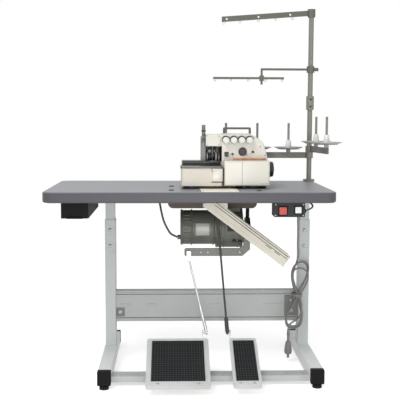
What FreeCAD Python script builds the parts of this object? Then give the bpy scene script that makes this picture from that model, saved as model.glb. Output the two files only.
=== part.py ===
import FreeCAD, Part
import Sketcher
import math
import os
import re

# Driving dimensions in millimetres, measured from the point on the floor below the table's centre.
# x runs to the operator's right, y away from the operator and z up.
SIZES = {
    # place of the table's centre in the part's frame
    "table_x": -34.99,
    "table_y": -59.26,
    # table
    "table_length": 1060,
    "table_depth": 538,
    "table_under": 708,
    "table_top_z": 748,
    "table_corner": 38,
    "table_round": 7,
    # legs
    "left_leg_x": -319.5,
    "right_leg_x": 482.7,
    "column_width": 43,
    "column_front": 155,
    "column_rear": 220,
    "column_wall": 3,
    "column_top": 595,
    "inner_gap": 0.1,
    "inner_bottom": 380,
    "flange_half": 45,
    "flange_thick": 5,
    "foot_width": 49,
    "foot_bottom": 16,
    "foot_top": 70,
    "foot_front": -175,
    "foot_rear": 372,
    "foot_wall": 3,
    "cap_length": 22,
    "cap_overhang": 1,
    "glide_radius": 18,
    "glide_height": 11,
    "glide_stem_radius": 6,
    "glide_front": -176,
    "glide_rear": 374,
    # rails between the legs
    "rail_front": 165,
    "rail_rear": 207,
    "rail_bottom": 168,
    "rail_top": 297,
    "rail_wall": 3,
    "rail_lip": 14,
    "foot_rail_front": -157,
    "foot_rail_rear": -96,
    "foot_rail_bottom": 15,
    "foot_rail_top": 38,
    # drawer under the table
    "drawer_left": -464,
    "drawer_right": -366,
    "drawer_front": -235,
    "drawer_rear": 155,
    "drawer_bottom": 650,
    "drawer_wall": 2.5,
    "hanger_wall": 2,
    "hanger_lip": 12,
    "drawer_gap": 0.8,
    # treadles, both tilted up towards the rear
    "tilt": 24.6,
    "treadle_pivot_y": -127,
    "treadle_pivot_z": 84,
    "treadle_ahead": 158,
    "treadle_behind": 106,
    "treadle_skirt": 17,
    "treadle_sheet": 3,
    "treadle_rise": 26,
    "mat_thick": 4,
    "large_x": -43,
    "large_width": 239,
    "large_mat_width": 200,
    "small_x": 212,
    "small_width": 105,
    "small_mat_width": 82,
    "mat_front": 25,
    "mat_rear": 18,
    "pivot_radius": 6,
    "pivot_gap": 0.05,
    "ear_thick": 5,
    "ear_radius": 14,
    "bracket_plate": 4,
    "bracket_wall": 5,
    "bracket_half": 22,
    # rods from the treadles
    "lug_y": -32,
    "lug_z": 172,
    "lug_along": 123.0,
    "lug_above": 40.5,
    "lug_radius": 4,
    "lug_thick": 4,
    "eye_radius": 8,
    "eye_width": 8,
    "pitman_x": 70,
    "pitman_top_x": 0,
    "pitman_top_z": 462,
    "pitman_root_x": 68,
    "pitman_root_y": -31.1,
    "pitman_root_z": 180.3,
    "pitman_joint_x": 44.1,
    "pitman_joint_y": -20.2,
    "pitman_joint_z": 279.3,
    "pitman_tube_radius": 6.5,
    "pitman_rod_radius": 4,
    "lifter_x": 152,
    "lifter_top_x": 99,
    "lifter_top_z": 757,
    "lifter_radius": 4,
    "lifter_clamp_x": 146.7,
    "lifter_clamp_z": 230.5,
    "lifter_clamp_radius": 8,
    # motor under the table
    "board_left": -81,
    "board_right": 265,
    "board_front": -18,
    "board_rear": 145,
    "board_bottom": 662,
    "board_corner": 20,
    "motor_y": 62,
    "motor_z": 578,
    "motor_left": -32,
    "motor_right": 108,
    "motor_radius": 68,
    "clutch_right": 213,
    "clutch_radius": 80,
    "motor_pad_half": 46,
    "belt_x": 235,
    "belt_width": 7,
    "belt_thick": 6,
    "belt_gap": 0.4,
    "pulley_half": 10,
    "motor_pulley_radius": 34,
    "head_pulley_radius": 28,
    "pulley_rim": 5,
    "motor_shaft_radius": 9,
    "cable_y": 40,
    "cable_z": 541,
    # clutch lever
    "lever_left": -17,
    "lever_low": 472,
    "lever_high": 502,
    "lever_half": 6,
    "lever_pivot_x": 229,
    "lever_pivot_z": 534,
    "lever_pin": 5,
    # switch box and its buttons
    "switch_left": 302,
    "switch_right": 415,
    "switch_front": -250,
    "switch_rear": -188,
    "switch_bottom": 656,
    "stop_x": 334.5,
    "stop_z": 679,
    "stop_half": 13,
    "start_x": 390,
    "start_z": 682,
    "start_half": 11,
    "button_out": 6,
    "button_deep": 14,
    "button_gap": 0.5,
    # waste chute
    "duct_left": 51,
    "duct_right": 143,
    "duct_front": -136,
    "duct_rear": -69,
    "duct_bottom": 640,
    "duct_gap": 0.4,
    "chute_wall": 2,
    "chute_slope": 37,
    "chute_start_x": 40,
    "chute_start_z": 689,
    "chute_length": 393,
    "chute_height": 48,
    "flange_out": 14,
    # overlock head
    "head_bottom": 760,
    "bed_left": -28,
    "bed_right": 298,
    "bed_rear": 80,
    "bed_front": -96,
    "bed_step": -44,
    "bed_top": 846,
    "arm_front": -76,
    "arm_rear": 66,
    "arm_left": 63,
    "arm_under": 905,
    "pillar_left": 124,
    "arm_top": 950,
    "shoulder_x": 238,
    "shoulder_mid_x": 280,
    "shoulder_mid_z": 922,
    "shoulder_end_z": 862,
    "cover_front": -150,
    "cover_left": 128,
    "cover_right": 298,
    "cover_top": 853,
    "cover_wall": 4,
    "side_left": -32,
    "side_right": 122,
    "side_top": 826,
    "plate_top": 833,
    "cover_gap": 0.5,
    "face_thick": 6,
    "face_low": 906,
    "needle_x": 90,
    "needle_y": -32,
    "needle_radius": 5,
    "foot_x": 90,
    "knob_first_x": 138,
    "knob_step": 30,
    "knob_z": 928,
    "knob_radius": 12.5,
    "knob_out": 26,
    "post_radius": 4,
    "window_x": 202,
    "window_z": 885,
    "window_radius": 12.5,
    "window_out": 4,
    "handle_left": 132,
    "handle_right": 240,
    "handle_top": 976,
    "handle_bar": 8,
    "handle_y": 0,
    "regulator_x": 56,
    "regulator_y": -20,
    "regulator_radius": 7,
    "regulator_top": 985,
    "cushion_radius": 13,
    "shaft_y": 25,
    "shaft_z": 812,
    "shaft_radius": 8,
    "shaft_gap": 0.05,
    "wheel_left": 302,
    "wheel_right": 324,
    "wheel_radius": 31,
    # thread stand
    "mast_x": 509.5,
    "mast_y": 236,
    "mast_radius": 10.4,
    "mast_wall": 1.6,
    "mast_bottom": 678,
    "mast_joint": 1072,
    "mast_end": 1440,
    "mast_nut": 24,
    "mast_under_nut": 15,
    "mast_nut_thick": 9,
    "coupler_low": 1047,
    "coupler_high": 1103,
    "coupler_radius": 16,
    "clamp_radius": 16,
    "clamp_gap": 0.05,
    "top_arm_low": 1426,
    "top_arm_high": 1458,
    "top_arm_end_x": 139,
    "top_arm_drop": 27,
    "top_arm_tall": 22,
    "top_arm_thick": 4,
    "guide_z": 1213,
    "guide_clamp_half": 13,
    "guide_rod_radius": 4.5,
    "guide_end_x": 306,
    "guide_end_z": 1150,
    "guide_bar_left": 104,
    "guide_bar_right": 398,
    "guide_bar_z": 1176,
    "guide_bar_tall": 9,
    "spool_arm_z": 858,
    "spool_arm_tall": 25,
    "spool_arm_thick": 4,
    "spool_first": 88,
    "spool_step": 131,
    "front_arm_z": 884.5,
    "front_arm_turn": -82,
    "spool_arm_past": 24,
    "disc_radius": 60,
    "disc_rim": 9,
    "disc_sheet": 2,
    "disc_above": 17,
    "cone_radius": 15.5,
    "cone_tip": 8.5,
    "cone_height": 38,
    "pin_radius": 5,
    "pin_tip": 4.8,
    "pin_rise": 108,
    # cords
    "cord_radius": 3.5,
    "cord_y": -215,
    "cord_z": 675,
    "hank_top_x": 470,
    "hank_bottom_x": 430,
    "hank_y": 122,
    "hank_top_z": 462,
    "hank_bottom_z": 112,
    "plug_x": 416,
    "plug_bottom_z": 22,
    "cable_radius": 4,
    "hank_half_width": 40,
    "hank_half_depth": 22,
    "plug_radius": 14,
}

# Heights given for an underside at this level, which rise and fall with the table
DRAWN_UNDER = 708
RISING = (
    "table_top_z", "drawer_bottom", "pitman_top_z", "lifter_top_z", "board_bottom", "motor_z",
    "cable_z", "lever_low", "lever_high", "lever_pivot_z", "switch_bottom", "stop_z", "start_z",
    "duct_bottom", "chute_start_z", "head_bottom", "bed_top", "arm_under", "arm_top", "shoulder_mid_z",
    "shoulder_end_z", "cover_top", "side_top", "plate_top", "face_low", "knob_z", "window_z",
    "handle_top", "regulator_top", "shaft_z", "mast_bottom", "mast_joint", "mast_end", "coupler_low",
    "coupler_high", "top_arm_low", "top_arm_high", "guide_z", "guide_end_z", "guide_bar_z",
    "spool_arm_z", "front_arm_z", "cord_z"
)
TABLE_RISE = SIZES["table_under"] - DRAWN_UNDER
for name in RISING:
    SIZES[name] += TABLE_RISE

doc = FreeCAD.newDocument("OverlockSet")
sheet = doc.addObject("Spreadsheet::Sheet", "Sizes")
for row, (alias, number) in enumerate(SIZES.items(), 1):
    sheet.set(f"A{row}", alias)
    sheet.set(f"B{row}", str(number))
    sheet.setAlias(f"B{row}", alias)
doc.recompute()

WORD = re.compile(r"[a-z][a-z0-9_]*")
TURN_TO_X = FreeCAD.Rotation(FreeCAD.Vector(0, 1, 0), 90)
TURN_TO_Y = FreeCAD.Rotation(FreeCAD.Vector(1, 0, 0), -90)
AXES = {"x": FreeCAD.Vector(1, 0, 0), "y": FreeCAD.Vector(0, 1, 0), "z": FreeCAD.Vector(0, 0, 1)}
AXIS_TURNS = {"x": TURN_TO_X, "y": TURN_TO_Y, "z": FreeCAD.Rotation()}
nodes = []


def cell(text):
    """Write the sheet's name before each alias in an expression."""
    def named(match):
        word = match.group()
        return f"Sizes.{word}" if word in SIZES else word
    return WORD.sub(named, str(text))


def bind(obj, **properties):
    """Bind properties of an object to expressions of the sheet's cells."""
    for name, text in properties.items():
        obj.setExpression(name, cell(text))


def place(obj, x, y, z, turn=FreeCAD.Rotation()):
    """Turn an object and bind its place, given from below the table's centre."""
    obj.Placement = FreeCAD.Placement(FreeCAD.Vector(), turn)
    obj.setExpression("Placement.Base.x", cell(f"table_x + ({x})"))
    obj.setExpression("Placement.Base.y", cell(f"table_y + ({y})"))
    obj.setExpression("Placement.Base.z", cell(f"({z})"))


def amount(item):
    """The number behind an alias, or the number itself."""
    return float(SIZES.get(item, item))


def block(x, y, z):
    """A box between two limits along each axis."""
    box = doc.addObject("Part::Box", "Block")
    bind(box, Length=f"({x[1]}) - ({x[0]})", Width=f"({y[1]}) - ({y[0]})", Height=f"({z[1]}) - ({z[0]})")
    place(box, x[0], y[0], z[0])
    return box


def slanted_block(length, width, height, x, y, z, turn):
    """A box with its corner at a point, turned about that corner."""
    box = doc.addObject("Part::Box", "Slanted")
    bind(box, Length=length, Width=width, Height=height)
    place(box, x, y, z, turn)
    return box


def round_bar(axis, radius, length, x, y, z):
    """A cylinder along an axis from a point."""
    bar = doc.addObject("Part::Cylinder", "Round")
    bind(bar, Radius=radius, Height=length)
    place(bar, x, y, z, AXIS_TURNS[axis])
    return bar


def strut(start, end, radius):
    """A cylinder between two points, each given as three aliases or numbers."""
    bar = doc.addObject("Part::Cylinder", "Strut")
    gaps = [f"({b}) - ({a})" for a, b in zip(start, end)]
    squares = " + ".join(f"({gap})^2" for gap in gaps)
    bind(bar, Radius=radius, Height=f"sqrt({squares})")
    along = FreeCAD.Vector(*(amount(b) - amount(a) for a, b in zip(start, end)))
    place(bar, *start, FreeCAD.Rotation(FreeCAD.Vector(0, 0, 1), along))
    return bar


def ball(radius, x, y, z):
    """A sphere about a point."""
    sphere = doc.addObject("Part::Sphere", "Ball")
    bind(sphere, Radius=radius)
    place(sphere, x, y, z)
    return sphere


def joined(*pieces):
    """One shape from several that touch, or a set of like pieces."""
    union = doc.addObject("Part::MultiFuse", "Joined")
    union.Shapes = list(pieces)
    union.Refine = True
    return union


def carved(base, *tools):
    """A shape less one or more others."""
    cut = doc.addObject("Part::Cut", "Carved")
    cut.Base = base
    cut.Tool = tools[0] if len(tools) == 1 else joined(*tools)
    cut.Refine = True
    return cut


def rounded(base, radius, chooser):
    """A shape with the edges that a test picks rounded."""
    doc.recompute()
    chosen = [i for i, edge in enumerate(base.Shape.Edges, 1) if chooser(edge)]
    size = amount(radius)
    fillet = doc.addObject("Part::Fillet", "Rounded")
    fillet.Base = base
    fillet.Edges = [(i, size, size) for i in chosen]
    return fillet


def along(axis, turn=FreeCAD.Rotation()):
    """A test for straight edges along an axis, or along that axis turned."""
    wanted = turn.multVec(AXES[axis])
    def test(edge):
        if edge.Curve.TypeId != "Part::GeomLine":
            return False
        return abs(edge.Curve.Direction.dot(wanted)) > 0.999
    return test


def node(label, obj):
    """Name a finished sub-part."""
    obj.Label = label
    nodes.append(obj)
    return obj


def new_body(x, y, z, turn=FreeCAD.Rotation()):
    """A body at a place of its own."""
    body = doc.addObject("PartDesign::Body", "Body")
    place(body, x, y, z, turn)
    return body


def sketch_on(body, plane, offset="0"):
    """An empty sketch on one of the body's origin planes, or at a distance from it."""
    sketch = body.newObject("Sketcher::SketchObject", "Sketch")
    support = [item for item in body.Origin.OriginFeatures if item.Role == plane][0]
    sketch.AttachmentSupport = [(support, "")]
    sketch.MapMode = "FlatFace"
    sketch.setExpression("AttachmentOffset.Base.z", cell(offset))
    return sketch


def fix_point(sketch, geometry, position, point):
    """Bind a point of the sketch to two expressions."""
    for kind, text in zip(("DistanceX", "DistanceY"), point):
        value = float(sheet_number(text))
        index = sketch.addConstraint(Sketcher.Constraint(kind, -1, 1, geometry, position, value))
        sketch.setExpression(f"Constraints[{index}]", cell(text))


def sheet_number(text):
    """The value of an expression, worked out in a spare cell of the sheet."""
    sheet.set("D1", f"={text}")
    sheet.recompute()
    return sheet.get("D1")


def polygon(sketch, points):
    """A closed outline of straight lines through bound points."""
    count = len(points)
    first = sketch.GeometryCount
    places = [FreeCAD.Vector(*(float(sheet_number(text)) for text in point), 0) for point in points]
    for i in range(count):
        sketch.addGeometry(Part.LineSegment(places[i], places[(i + 1) % count]))
    for i in range(count):
        after = first + (i + 1) % count
        sketch.addConstraint(Sketcher.Constraint("Coincident", first + i, 2, after, 1))
    for i in range(count):
        fix_point(sketch, first + i, 1, points[i])


def ring(sketch, radius, x=0, y=0):
    """A circle with a bound centre and radius."""
    centre = FreeCAD.Vector(float(sheet_number(x)), float(sheet_number(y)), 0)
    value = float(sheet_number(radius))
    index = sketch.addGeometry(Part.Circle(centre, FreeCAD.Vector(0, 0, 1), value))
    fix_point(sketch, index, 3, (x, y))
    size = sketch.addConstraint(Sketcher.Constraint("Radius", index, value))
    sketch.setExpression(f"Constraints[{size}]", cell(radius))


def pad(body, sketch, length):
    """A pad of a bound length."""
    feature = body.newObject("PartDesign::Pad", "Pad")
    feature.Profile = sketch
    bind(feature, Length=length)
    return feature


def pocket(body, sketch, length, reverse=False):
    """A pocket of a bound depth."""
    feature = body.newObject("PartDesign::Pocket", "Pocket")
    feature.Profile = sketch
    feature.Reversed = reverse
    bind(feature, Length=length)
    return feature


def soften(body, radius, chooser):
    """Round the body's edges that a test picks."""
    doc.recompute()
    chosen = [f"Edge{i}" for i, edge in enumerate(body.Shape.Edges, 1) if chooser(edge)]
    base = body.Tip
    feature = body.newObject("PartDesign::Fillet", "Fillet")
    feature.Base = (base, chosen)
    bind(feature, Radius=radius)
    return feature


def lathe(x, y, z, points, axis="z"):
    """A body turned about an axis from a profile of radius and height."""
    body = new_body(x, y, z, AXIS_TURNS[axis])
    sketch = sketch_on(body, "XZ_Plane")
    polygon(sketch, points)
    feature = body.newObject("PartDesign::Revolution", "Revolution")
    feature.Profile = sketch
    feature.ReferenceAxis = (sketch, ["V_Axis"])
    feature.Angle = 360
    return body


# Table top with the chute opening, the lifter rod's hole, the belt slot and the mast's hole
def make_table():
    top = new_body(0, 0, "table_under")
    half_x = "table_length / 2"
    half_y = "table_depth / 2"
    sketch = sketch_on(top, "XY_Plane")
    polygon(sketch, [(f"-{half_x}", f"-{half_y}"), (half_x, f"-{half_y}"), (half_x, half_y), (f"-{half_x}",
            half_y)])
    pad(top, sketch, "table_top_z - table_under")
    soften(top, "table_corner", along("z"))
    soften(top, "table_round", lambda edge: edge.BoundBox.ZLength < 0.01)
    holes = sketch_on(top, "XY_Plane")
    polygon(holes, [("duct_left", "duct_front"), ("duct_right", "duct_front"), ("duct_right", "duct_rear"),
                    ("duct_left", "duct_rear")])
    polygon(holes, [("belt_x - 14", "shaft_y - 48"), ("belt_x + 14", "shaft_y - 48"),
                    ("belt_x + 14", "motor_y + 40"), ("belt_x - 14", "motor_y + 40")])
    ring(holes, "14", "lifter_top_x + 3", "lug_y")
    ring(holes, "mast_radius", "mast_x", "mast_y")
    pocket(top, holes, "table_top_z - table_under", reverse=True)
    node("table_top", top)


# A column on its foot tube, with the narrower column that sets the height inside it
inner_columns = []
foot_tubes = []


def make_leg(side, x):
    half = "column_width / 2"
    outer = block((f"{x} - {half}", f"{x} + {half}"), ("column_front", "column_rear"), ("foot_top",
            "column_top"))
    hollow = block((f"{x} - {half} + column_wall", f"{x} + {half} - column_wall"),
                   ("column_front + column_wall", "column_rear - column_wall"), ("foot_top", "column_top"))
    node(f"{side}_column", carved(rounded(outer, 2, along("z")), hollow))
    inset = "(column_wall + inner_gap)"
    tube = block((f"{x} - {half} + {inset}", f"{x} + {half} - {inset}"),
                 (f"column_front + {inset}", f"column_rear - {inset}"), ("inner_bottom", "table_under"))
    bore = block((f"{x} - {half} + {inset} + 2.5", f"{x} + {half} - {inset} - 2.5"),
                 (f"column_front + {inset} + 2.5", f"column_rear - {inset} - 2.5"),
                 ("inner_bottom", "table_under - flange_thick"))
    flange = block((f"{x} - flange_half", f"{x} + flange_half"), ("column_front - 120",
            "column_front + 44"),
                   ("table_under - flange_thick", "table_under"))
    inner_columns.append(carved(joined(tube, flange), bore))
    foot = block((f"{x} - foot_width / 2", f"{x} + foot_width / 2"), ("foot_front", "foot_rear"),
                 ("foot_bottom", "foot_top"))
    inside = block((f"{x} - foot_width / 2 + foot_wall", f"{x} + foot_width / 2 - foot_wall"),
                   ("foot_front", "foot_rear"), ("foot_bottom + foot_wall", "foot_top - foot_wall"))
    foot_tubes.append(rounded(carved(foot, inside), 2.5, along("y")))


# Black end caps and round levelling feet, four of each
def make_feet():
    caps = []
    glides = []
    for x in ("left_leg_x", "right_leg_x"):
        wide = (f"{x} - foot_width / 2 - cap_overhang", f"{x} + foot_width / 2 + cap_overhang")
        tall = ("foot_bottom - cap_overhang", "foot_top + cap_overhang")
        caps.append(rounded(block(wide, ("foot_front - cap_length", "foot_front"), tall), 4, along("y")))
        caps.append(rounded(block(wide, ("foot_rear", "foot_rear + cap_length"), tall), 4, along("y")))
        for y in ("glide_front - 8", "glide_rear + 8"):
            glides.append(round_bar("z", "glide_radius", "glide_height", x, y, 0))
            glides.append(round_bar("z", "glide_stem_radius", "foot_bottom - cap_overhang", x, y, 0))
    node("foot_caps", joined(*caps))
    node("levelling_feet", joined(*glides))


# Rear cross rail, a folded channel between the columns
def make_rear_rail():
    rail = new_body("left_leg_x + column_width / 2", 0, 0)
    sketch = sketch_on(rail, "YZ_Plane")
    front, rear, low, high = "rail_front", "rail_rear", "rail_bottom", "rail_top"
    polygon(sketch, [(front, low), (rear, low), (rear, f"{low} + rail_lip"),
                     (f"{rear} - rail_wall", f"{low} + rail_lip"), (f"{rear} - rail_wall",
                             f"{low} + rail_wall"),
                     (f"{front} + rail_wall", f"{low} + rail_wall"),
                     (f"{front} + rail_wall", f"{high} - rail_wall"),
                     (f"{rear} - rail_wall", f"{high} - rail_wall"),
                     (f"{rear} - rail_wall", f"{high} - rail_lip"), (rear, f"{high} - rail_lip"), (rear,
                             high),
                     (front, high)])
    pad(rail, sketch, "right_leg_x - left_leg_x - column_width")
    node("rear_rail", rail)


# Foot rail between the foot tubes, with long slots for the treadle brackets
def make_foot_rail():
    rail = new_body("left_leg_x + foot_width / 2", 0, 0)
    sketch = sketch_on(rail, "YZ_Plane")
    front, rear, low, high = "foot_rail_front", "foot_rail_rear", "foot_rail_bottom", "foot_rail_top"
    polygon(sketch, [(front, low), (f"{front} + rail_wall", low), (f"{front} + rail_wall",
            f"{high} - rail_wall"),
                     (f"{rear} - rail_wall", f"{high} - rail_wall"), (f"{rear} - rail_wall", low), (rear,
                             low),
                     (rear, high), (front, high)])
    pad(rail, sketch, "right_leg_x - left_leg_x - foot_width")
    slots = sketch_on(rail, "XY_Plane")
    for start in (30, 420, 660):
        polygon(slots, [(start, "-130"), (start + 80, "-130"), (start + 80, "-122"), (start, "-122")])
    pocket(rail, slots, "foot_rail_top + 1", reverse=True)
    node("foot_rail", rail)


# Drawer in a folded hanger under the table
def make_drawer():
    shell = block(("drawer_left", "drawer_right"), ("drawer_front + 1", "drawer_rear"),
                  ("drawer_bottom", "table_under"))
    space = block(("drawer_left + hanger_wall", "drawer_right - hanger_wall"), ("drawer_front + 1",
            "drawer_rear"),
                  ("drawer_bottom + hanger_wall", "table_under - hanger_wall"))
    mouth = block(("drawer_left + hanger_lip", "drawer_right - hanger_lip"), ("drawer_front + 1",
            "drawer_rear"),
                  ("drawer_bottom", "drawer_bottom + hanger_wall"))
    node("drawer_hanger", carved(shell, space, mouth))
    side = "(hanger_wall + drawer_gap)"
    tray = block((f"drawer_left + {side}", f"drawer_right - {side}"), ("drawer_front", "drawer_rear - 4"),
                 ("drawer_bottom + hanger_wall + drawer_gap", "table_under - 8"))
    front = block(("drawer_left", "drawer_right"), ("drawer_front - 3", "drawer_front"),
                  ("drawer_bottom", "table_under - 3"))
    grip = block(("drawer_left + 20", "drawer_right - 20"), ("drawer_front - 14", "drawer_front - 3"),
                 ("drawer_bottom", "drawer_bottom + 5"))
    room = block((f"drawer_left + {side} + drawer_wall", f"drawer_right - {side} - drawer_wall"),
                 ("drawer_front + drawer_wall", "drawer_rear - 4 - drawer_wall"),
                 ("drawer_bottom + hanger_wall + drawer_gap + drawer_wall", "table_under - 8"))
    node("drawer", carved(joined(tray, front, grip), room))


# A treadle: a folded tray on two pivot ears, with a lug and pin for its rod, a mat and a bracket
treadle_brackets = []


def make_treadle(size, lug_x, pin_x):
    half = f"{size}_width / 2"
    turn = FreeCAD.Rotation(AXES["x"], SIZES["tilt"])
    tray = new_body(f"{size}_x", "treadle_pivot_y", "treadle_pivot_z", turn)
    sheet_low = "treadle_rise - treadle_skirt"
    sketch = sketch_on(tray, "XY_Plane", sheet_low)
    polygon(sketch, [(f"-{half}", "-treadle_ahead"), (half, "-treadle_ahead"), (half, "treadle_behind"),
                     (f"-{half}", "treadle_behind")])
    pad(tray, sketch, "treadle_skirt")
    soften(tray, "9", along("z", turn))
    inner = f"({half} - treadle_sheet)"
    under = sketch_on(tray, "XY_Plane", sheet_low)
    polygon(under, [(f"-{inner}", "-treadle_ahead + treadle_sheet"), (inner,
            "-treadle_ahead + treadle_sheet"),
                    (inner, "treadle_behind - treadle_sheet"), (f"-{inner}",
                            "treadle_behind - treadle_sheet")])
    pocket(tray, under, "treadle_skirt - treadle_sheet", reverse=True)
    ear_x = f"({half} - 30)"
    for start in (ear_x, f"-{ear_x} - ear_thick"):
        ear = sketch_on(tray, "YZ_Plane", start)
        polygon(ear, [("-ear_radius", "-ear_radius"), ("ear_radius", "-ear_radius"),
                      ("ear_radius", "treadle_rise - 2"), ("-ear_radius", "treadle_rise - 2")])
        ring(ear, "pivot_radius + pivot_gap")
        pad(tray, ear, "ear_thick")
    lug = sketch_on(tray, "YZ_Plane", lug_x)
    polygon(lug, [("treadle_behind - 10", "treadle_rise - 2"), ("treadle_behind - 2", "treadle_rise - 14"),
                  ("lug_along + eye_radius", "lug_above - eye_radius"),
                  ("lug_along + eye_radius", "lug_above + eye_radius"),
                  ("lug_along - eye_radius", "lug_above + eye_radius")])
    pad(tray, lug, "lug_thick")
    pin = sketch_on(tray, "YZ_Plane", pin_x)
    ring(pin, "lug_radius", "lug_along", "lug_above")
    pad(tray, pin, "eye_width + 12")
    node(f"{size}_treadle", tray)
    mat = new_body(f"{size}_x", "treadle_pivot_y", "treadle_pivot_z", turn)
    face = sketch_on(mat, "XY_Plane", "treadle_rise")
    wide = f"{size}_mat_width / 2"
    polygon(face, [(f"-{wide}", "-treadle_ahead + mat_front"), (wide, "-treadle_ahead + mat_front"),
                   (wide, "treadle_behind - mat_rear"), (f"-{wide}", "treadle_behind - mat_rear")])
    pad(mat, face, "mat_thick")
    node(f"{size}_treadle_mat", mat)
    outer = f"({half} - 31)"
    x = f"{size}_x"
    deep = ("treadle_pivot_y - bracket_half", "treadle_pivot_y + bracket_half")
    base = block((f"{x} - {outer}", f"{x} + {outer}"), deep, ("foot_rail_top",
            "foot_rail_top + bracket_plate"))
    walls = []
    for left in (f"{x} - {outer}", f"{x} + {outer} - bracket_wall"):
        narrow = ("treadle_pivot_y - 13", "treadle_pivot_y + 13")
        walls.append(block((left, f"{left} + bracket_wall"), narrow, ("foot_rail_top",
                "treadle_pivot_z + 10")))
    reach = f"({half} - 25)"
    shaft = round_bar("x", "pivot_radius", f"2 * {reach}", f"{x} - {reach}", "treadle_pivot_y",
                      "treadle_pivot_z")
    treadle_brackets.append(joined(base, *walls, shaft))


# Pitman rod from the large treadle, with a fork about the clutch lever, and lifter rod from the small one
def make_rods():
    root = ("pitman_root_x", "pitman_root_y", "pitman_root_z")
    joint = ("pitman_joint_x", "pitman_joint_y", "pitman_joint_z")
    head = ("pitman_top_x", 0, "pitman_top_z")
    eye = round_bar("x", "eye_radius", "eye_width", "pitman_x - eye_width / 2", "lug_y", "lug_z")
    hole = round_bar("x", "lug_radius + pivot_gap", "4 * eye_width", "pitman_x - 2 * eye_width", "lug_y",
                     "lug_z")
    yoke = block(("pitman_top_x - 8", "pitman_top_x + 8"), (-12.5, 12.5), ("pitman_top_z - 6",
            "pitman_top_z + 30"))
    gap = block(("pitman_top_x - 8", "pitman_top_x + 8"), (-9.5, 9.5), ("pitman_top_z + 1",
            "pitman_top_z + 30"))
    neck = block(("pitman_x - 4", "pitman_x + 4"), ("lug_y - 5", "lug_y + 5"), ("lug_z + 5", "lug_z + 14"))
    tube = strut(root, joint, "pitman_tube_radius")
    rod = strut(root, head, "pitman_rod_radius")
    node("pitman_rod", joined(carved(joined(eye, neck), hole), tube, rod, carved(yoke, gap)))
    low = ("lifter_x", "lug_y", "lug_z")
    clamp = ("lifter_clamp_x", "lug_y", "lifter_clamp_z")
    end = ("lifter_top_x", "lug_y", "lifter_top_z")
    ring_eye = round_bar("x", "eye_radius", "eye_width", "lifter_x - eye_width / 2", "lug_y", "lug_z")
    bore = round_bar("x", "lug_radius + pivot_gap", "4 * eye_width", "lifter_x - 2 * eye_width", "lug_y",
                     "lug_z")
    grip = strut(low, clamp, "lifter_clamp_radius")
    node("lifter_rod", carved(joined(ring_eye, grip, strut(low, end, "lifter_radius")), bore))


# Motor with its clutch, on a board under the table
def make_motor():
    board = block(("board_left", "board_right"), ("board_front", "board_rear"), ("board_bottom",
            "table_under"))
    slot = block(("belt_x - 14", "belt_x + 14"), ("shaft_y - 40", "motor_y + 46"), ("board_bottom",
            "table_under"))
    lower = rounded(board, "board_corner",
                    lambda edge: along("y")(edge) and edge.BoundBox.ZMax < amount("table_under") - 8)
    node("motor_board", carved(lower, slot))
    drum = round_bar("x", "motor_radius", "motor_right - motor_left", "motor_left", "motor_y", "motor_z")
    gland = round_bar("x", "9", "12", "motor_left - 12", "cable_y", "cable_z")
    passage = round_bar("x", "cable_radius", "12", "motor_left - 12", "cable_y", "cable_z")
    node("motor_housing", carved(joined(drum, gland), passage))
    clutch = round_bar("x", "clutch_radius", "clutch_right - motor_right", "motor_right", "motor_y",
                       "motor_z")
    saddle = block(("motor_right + 6", "clutch_right - 10"), ("motor_y - motor_pad_half",
            "motor_y + motor_pad_half"),
                   ("motor_z", "board_bottom"))
    shaft = round_bar("x", "motor_shaft_radius", "belt_x + 14 - clutch_right", "clutch_right", "motor_y",
                      "motor_z")
    ear = block(("clutch_right - 4", "lever_pivot_x + 9"), ("lever_half + 0.5", "lever_half + 5.5"),
                ("lever_pivot_z - 10", "lever_pivot_z + 10"))
    pin = round_bar("y", "lever_pin", "2 * lever_half + 8", "lever_pivot_x", "-lever_half - 4",
                    "lever_pivot_z")
    node("clutch_housing", joined(clutch, saddle, shaft, ear, pin))
    node("motor_pulley", pulley("motor_y", "motor_z", "motor_pulley_radius",
                                "motor_shaft_radius + shaft_gap"))


def pulley(y, z, radius, bore):
    """A grooved wheel about the x axis in the belt's plane."""
    rim = f"{radius} + pulley_rim"
    wide = "2 * pulley_half"
    return lathe("belt_x - pulley_half", y, z, [
        (bore, "0"), (rim, "0"), (rim, "3"), (radius, "5.5"), (radius, f"{wide} - 5.5"),
        (rim, f"{wide} - 3"), (rim, wide), (bore, wide)], "x")


# Clutch lever: a flat bar that bends up to its pivot
def make_lever():
    lever = new_body(0, "lever_half", 0)
    sketch = sketch_on(lever, "XZ_Plane")
    polygon(sketch, [("lever_left", "lever_low"), ("lever_pivot_x - 18", "lever_low"),
                     ("lever_pivot_x + 12", "lever_low + 26"), ("lever_pivot_x + 12", "lever_pivot_z + 12"),
                     ("lever_pivot_x - 12", "lever_pivot_z + 12"), ("lever_pivot_x - 14",
                             "lever_high + 10"),
                     ("lever_pivot_x - 30", "lever_high"), ("lever_left", "lever_high")])
    ring(sketch, "lever_pin + pivot_gap", "lever_pivot_x", "lever_pivot_z")
    for x in ("48", "75"):
        ring(sketch, "4", x, "(lever_low + lever_high) / 2")
    pad(lever, sketch, "2 * lever_half")
    soften(lever, "7", along("y"))
    node("clutch_lever", lever)


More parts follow.
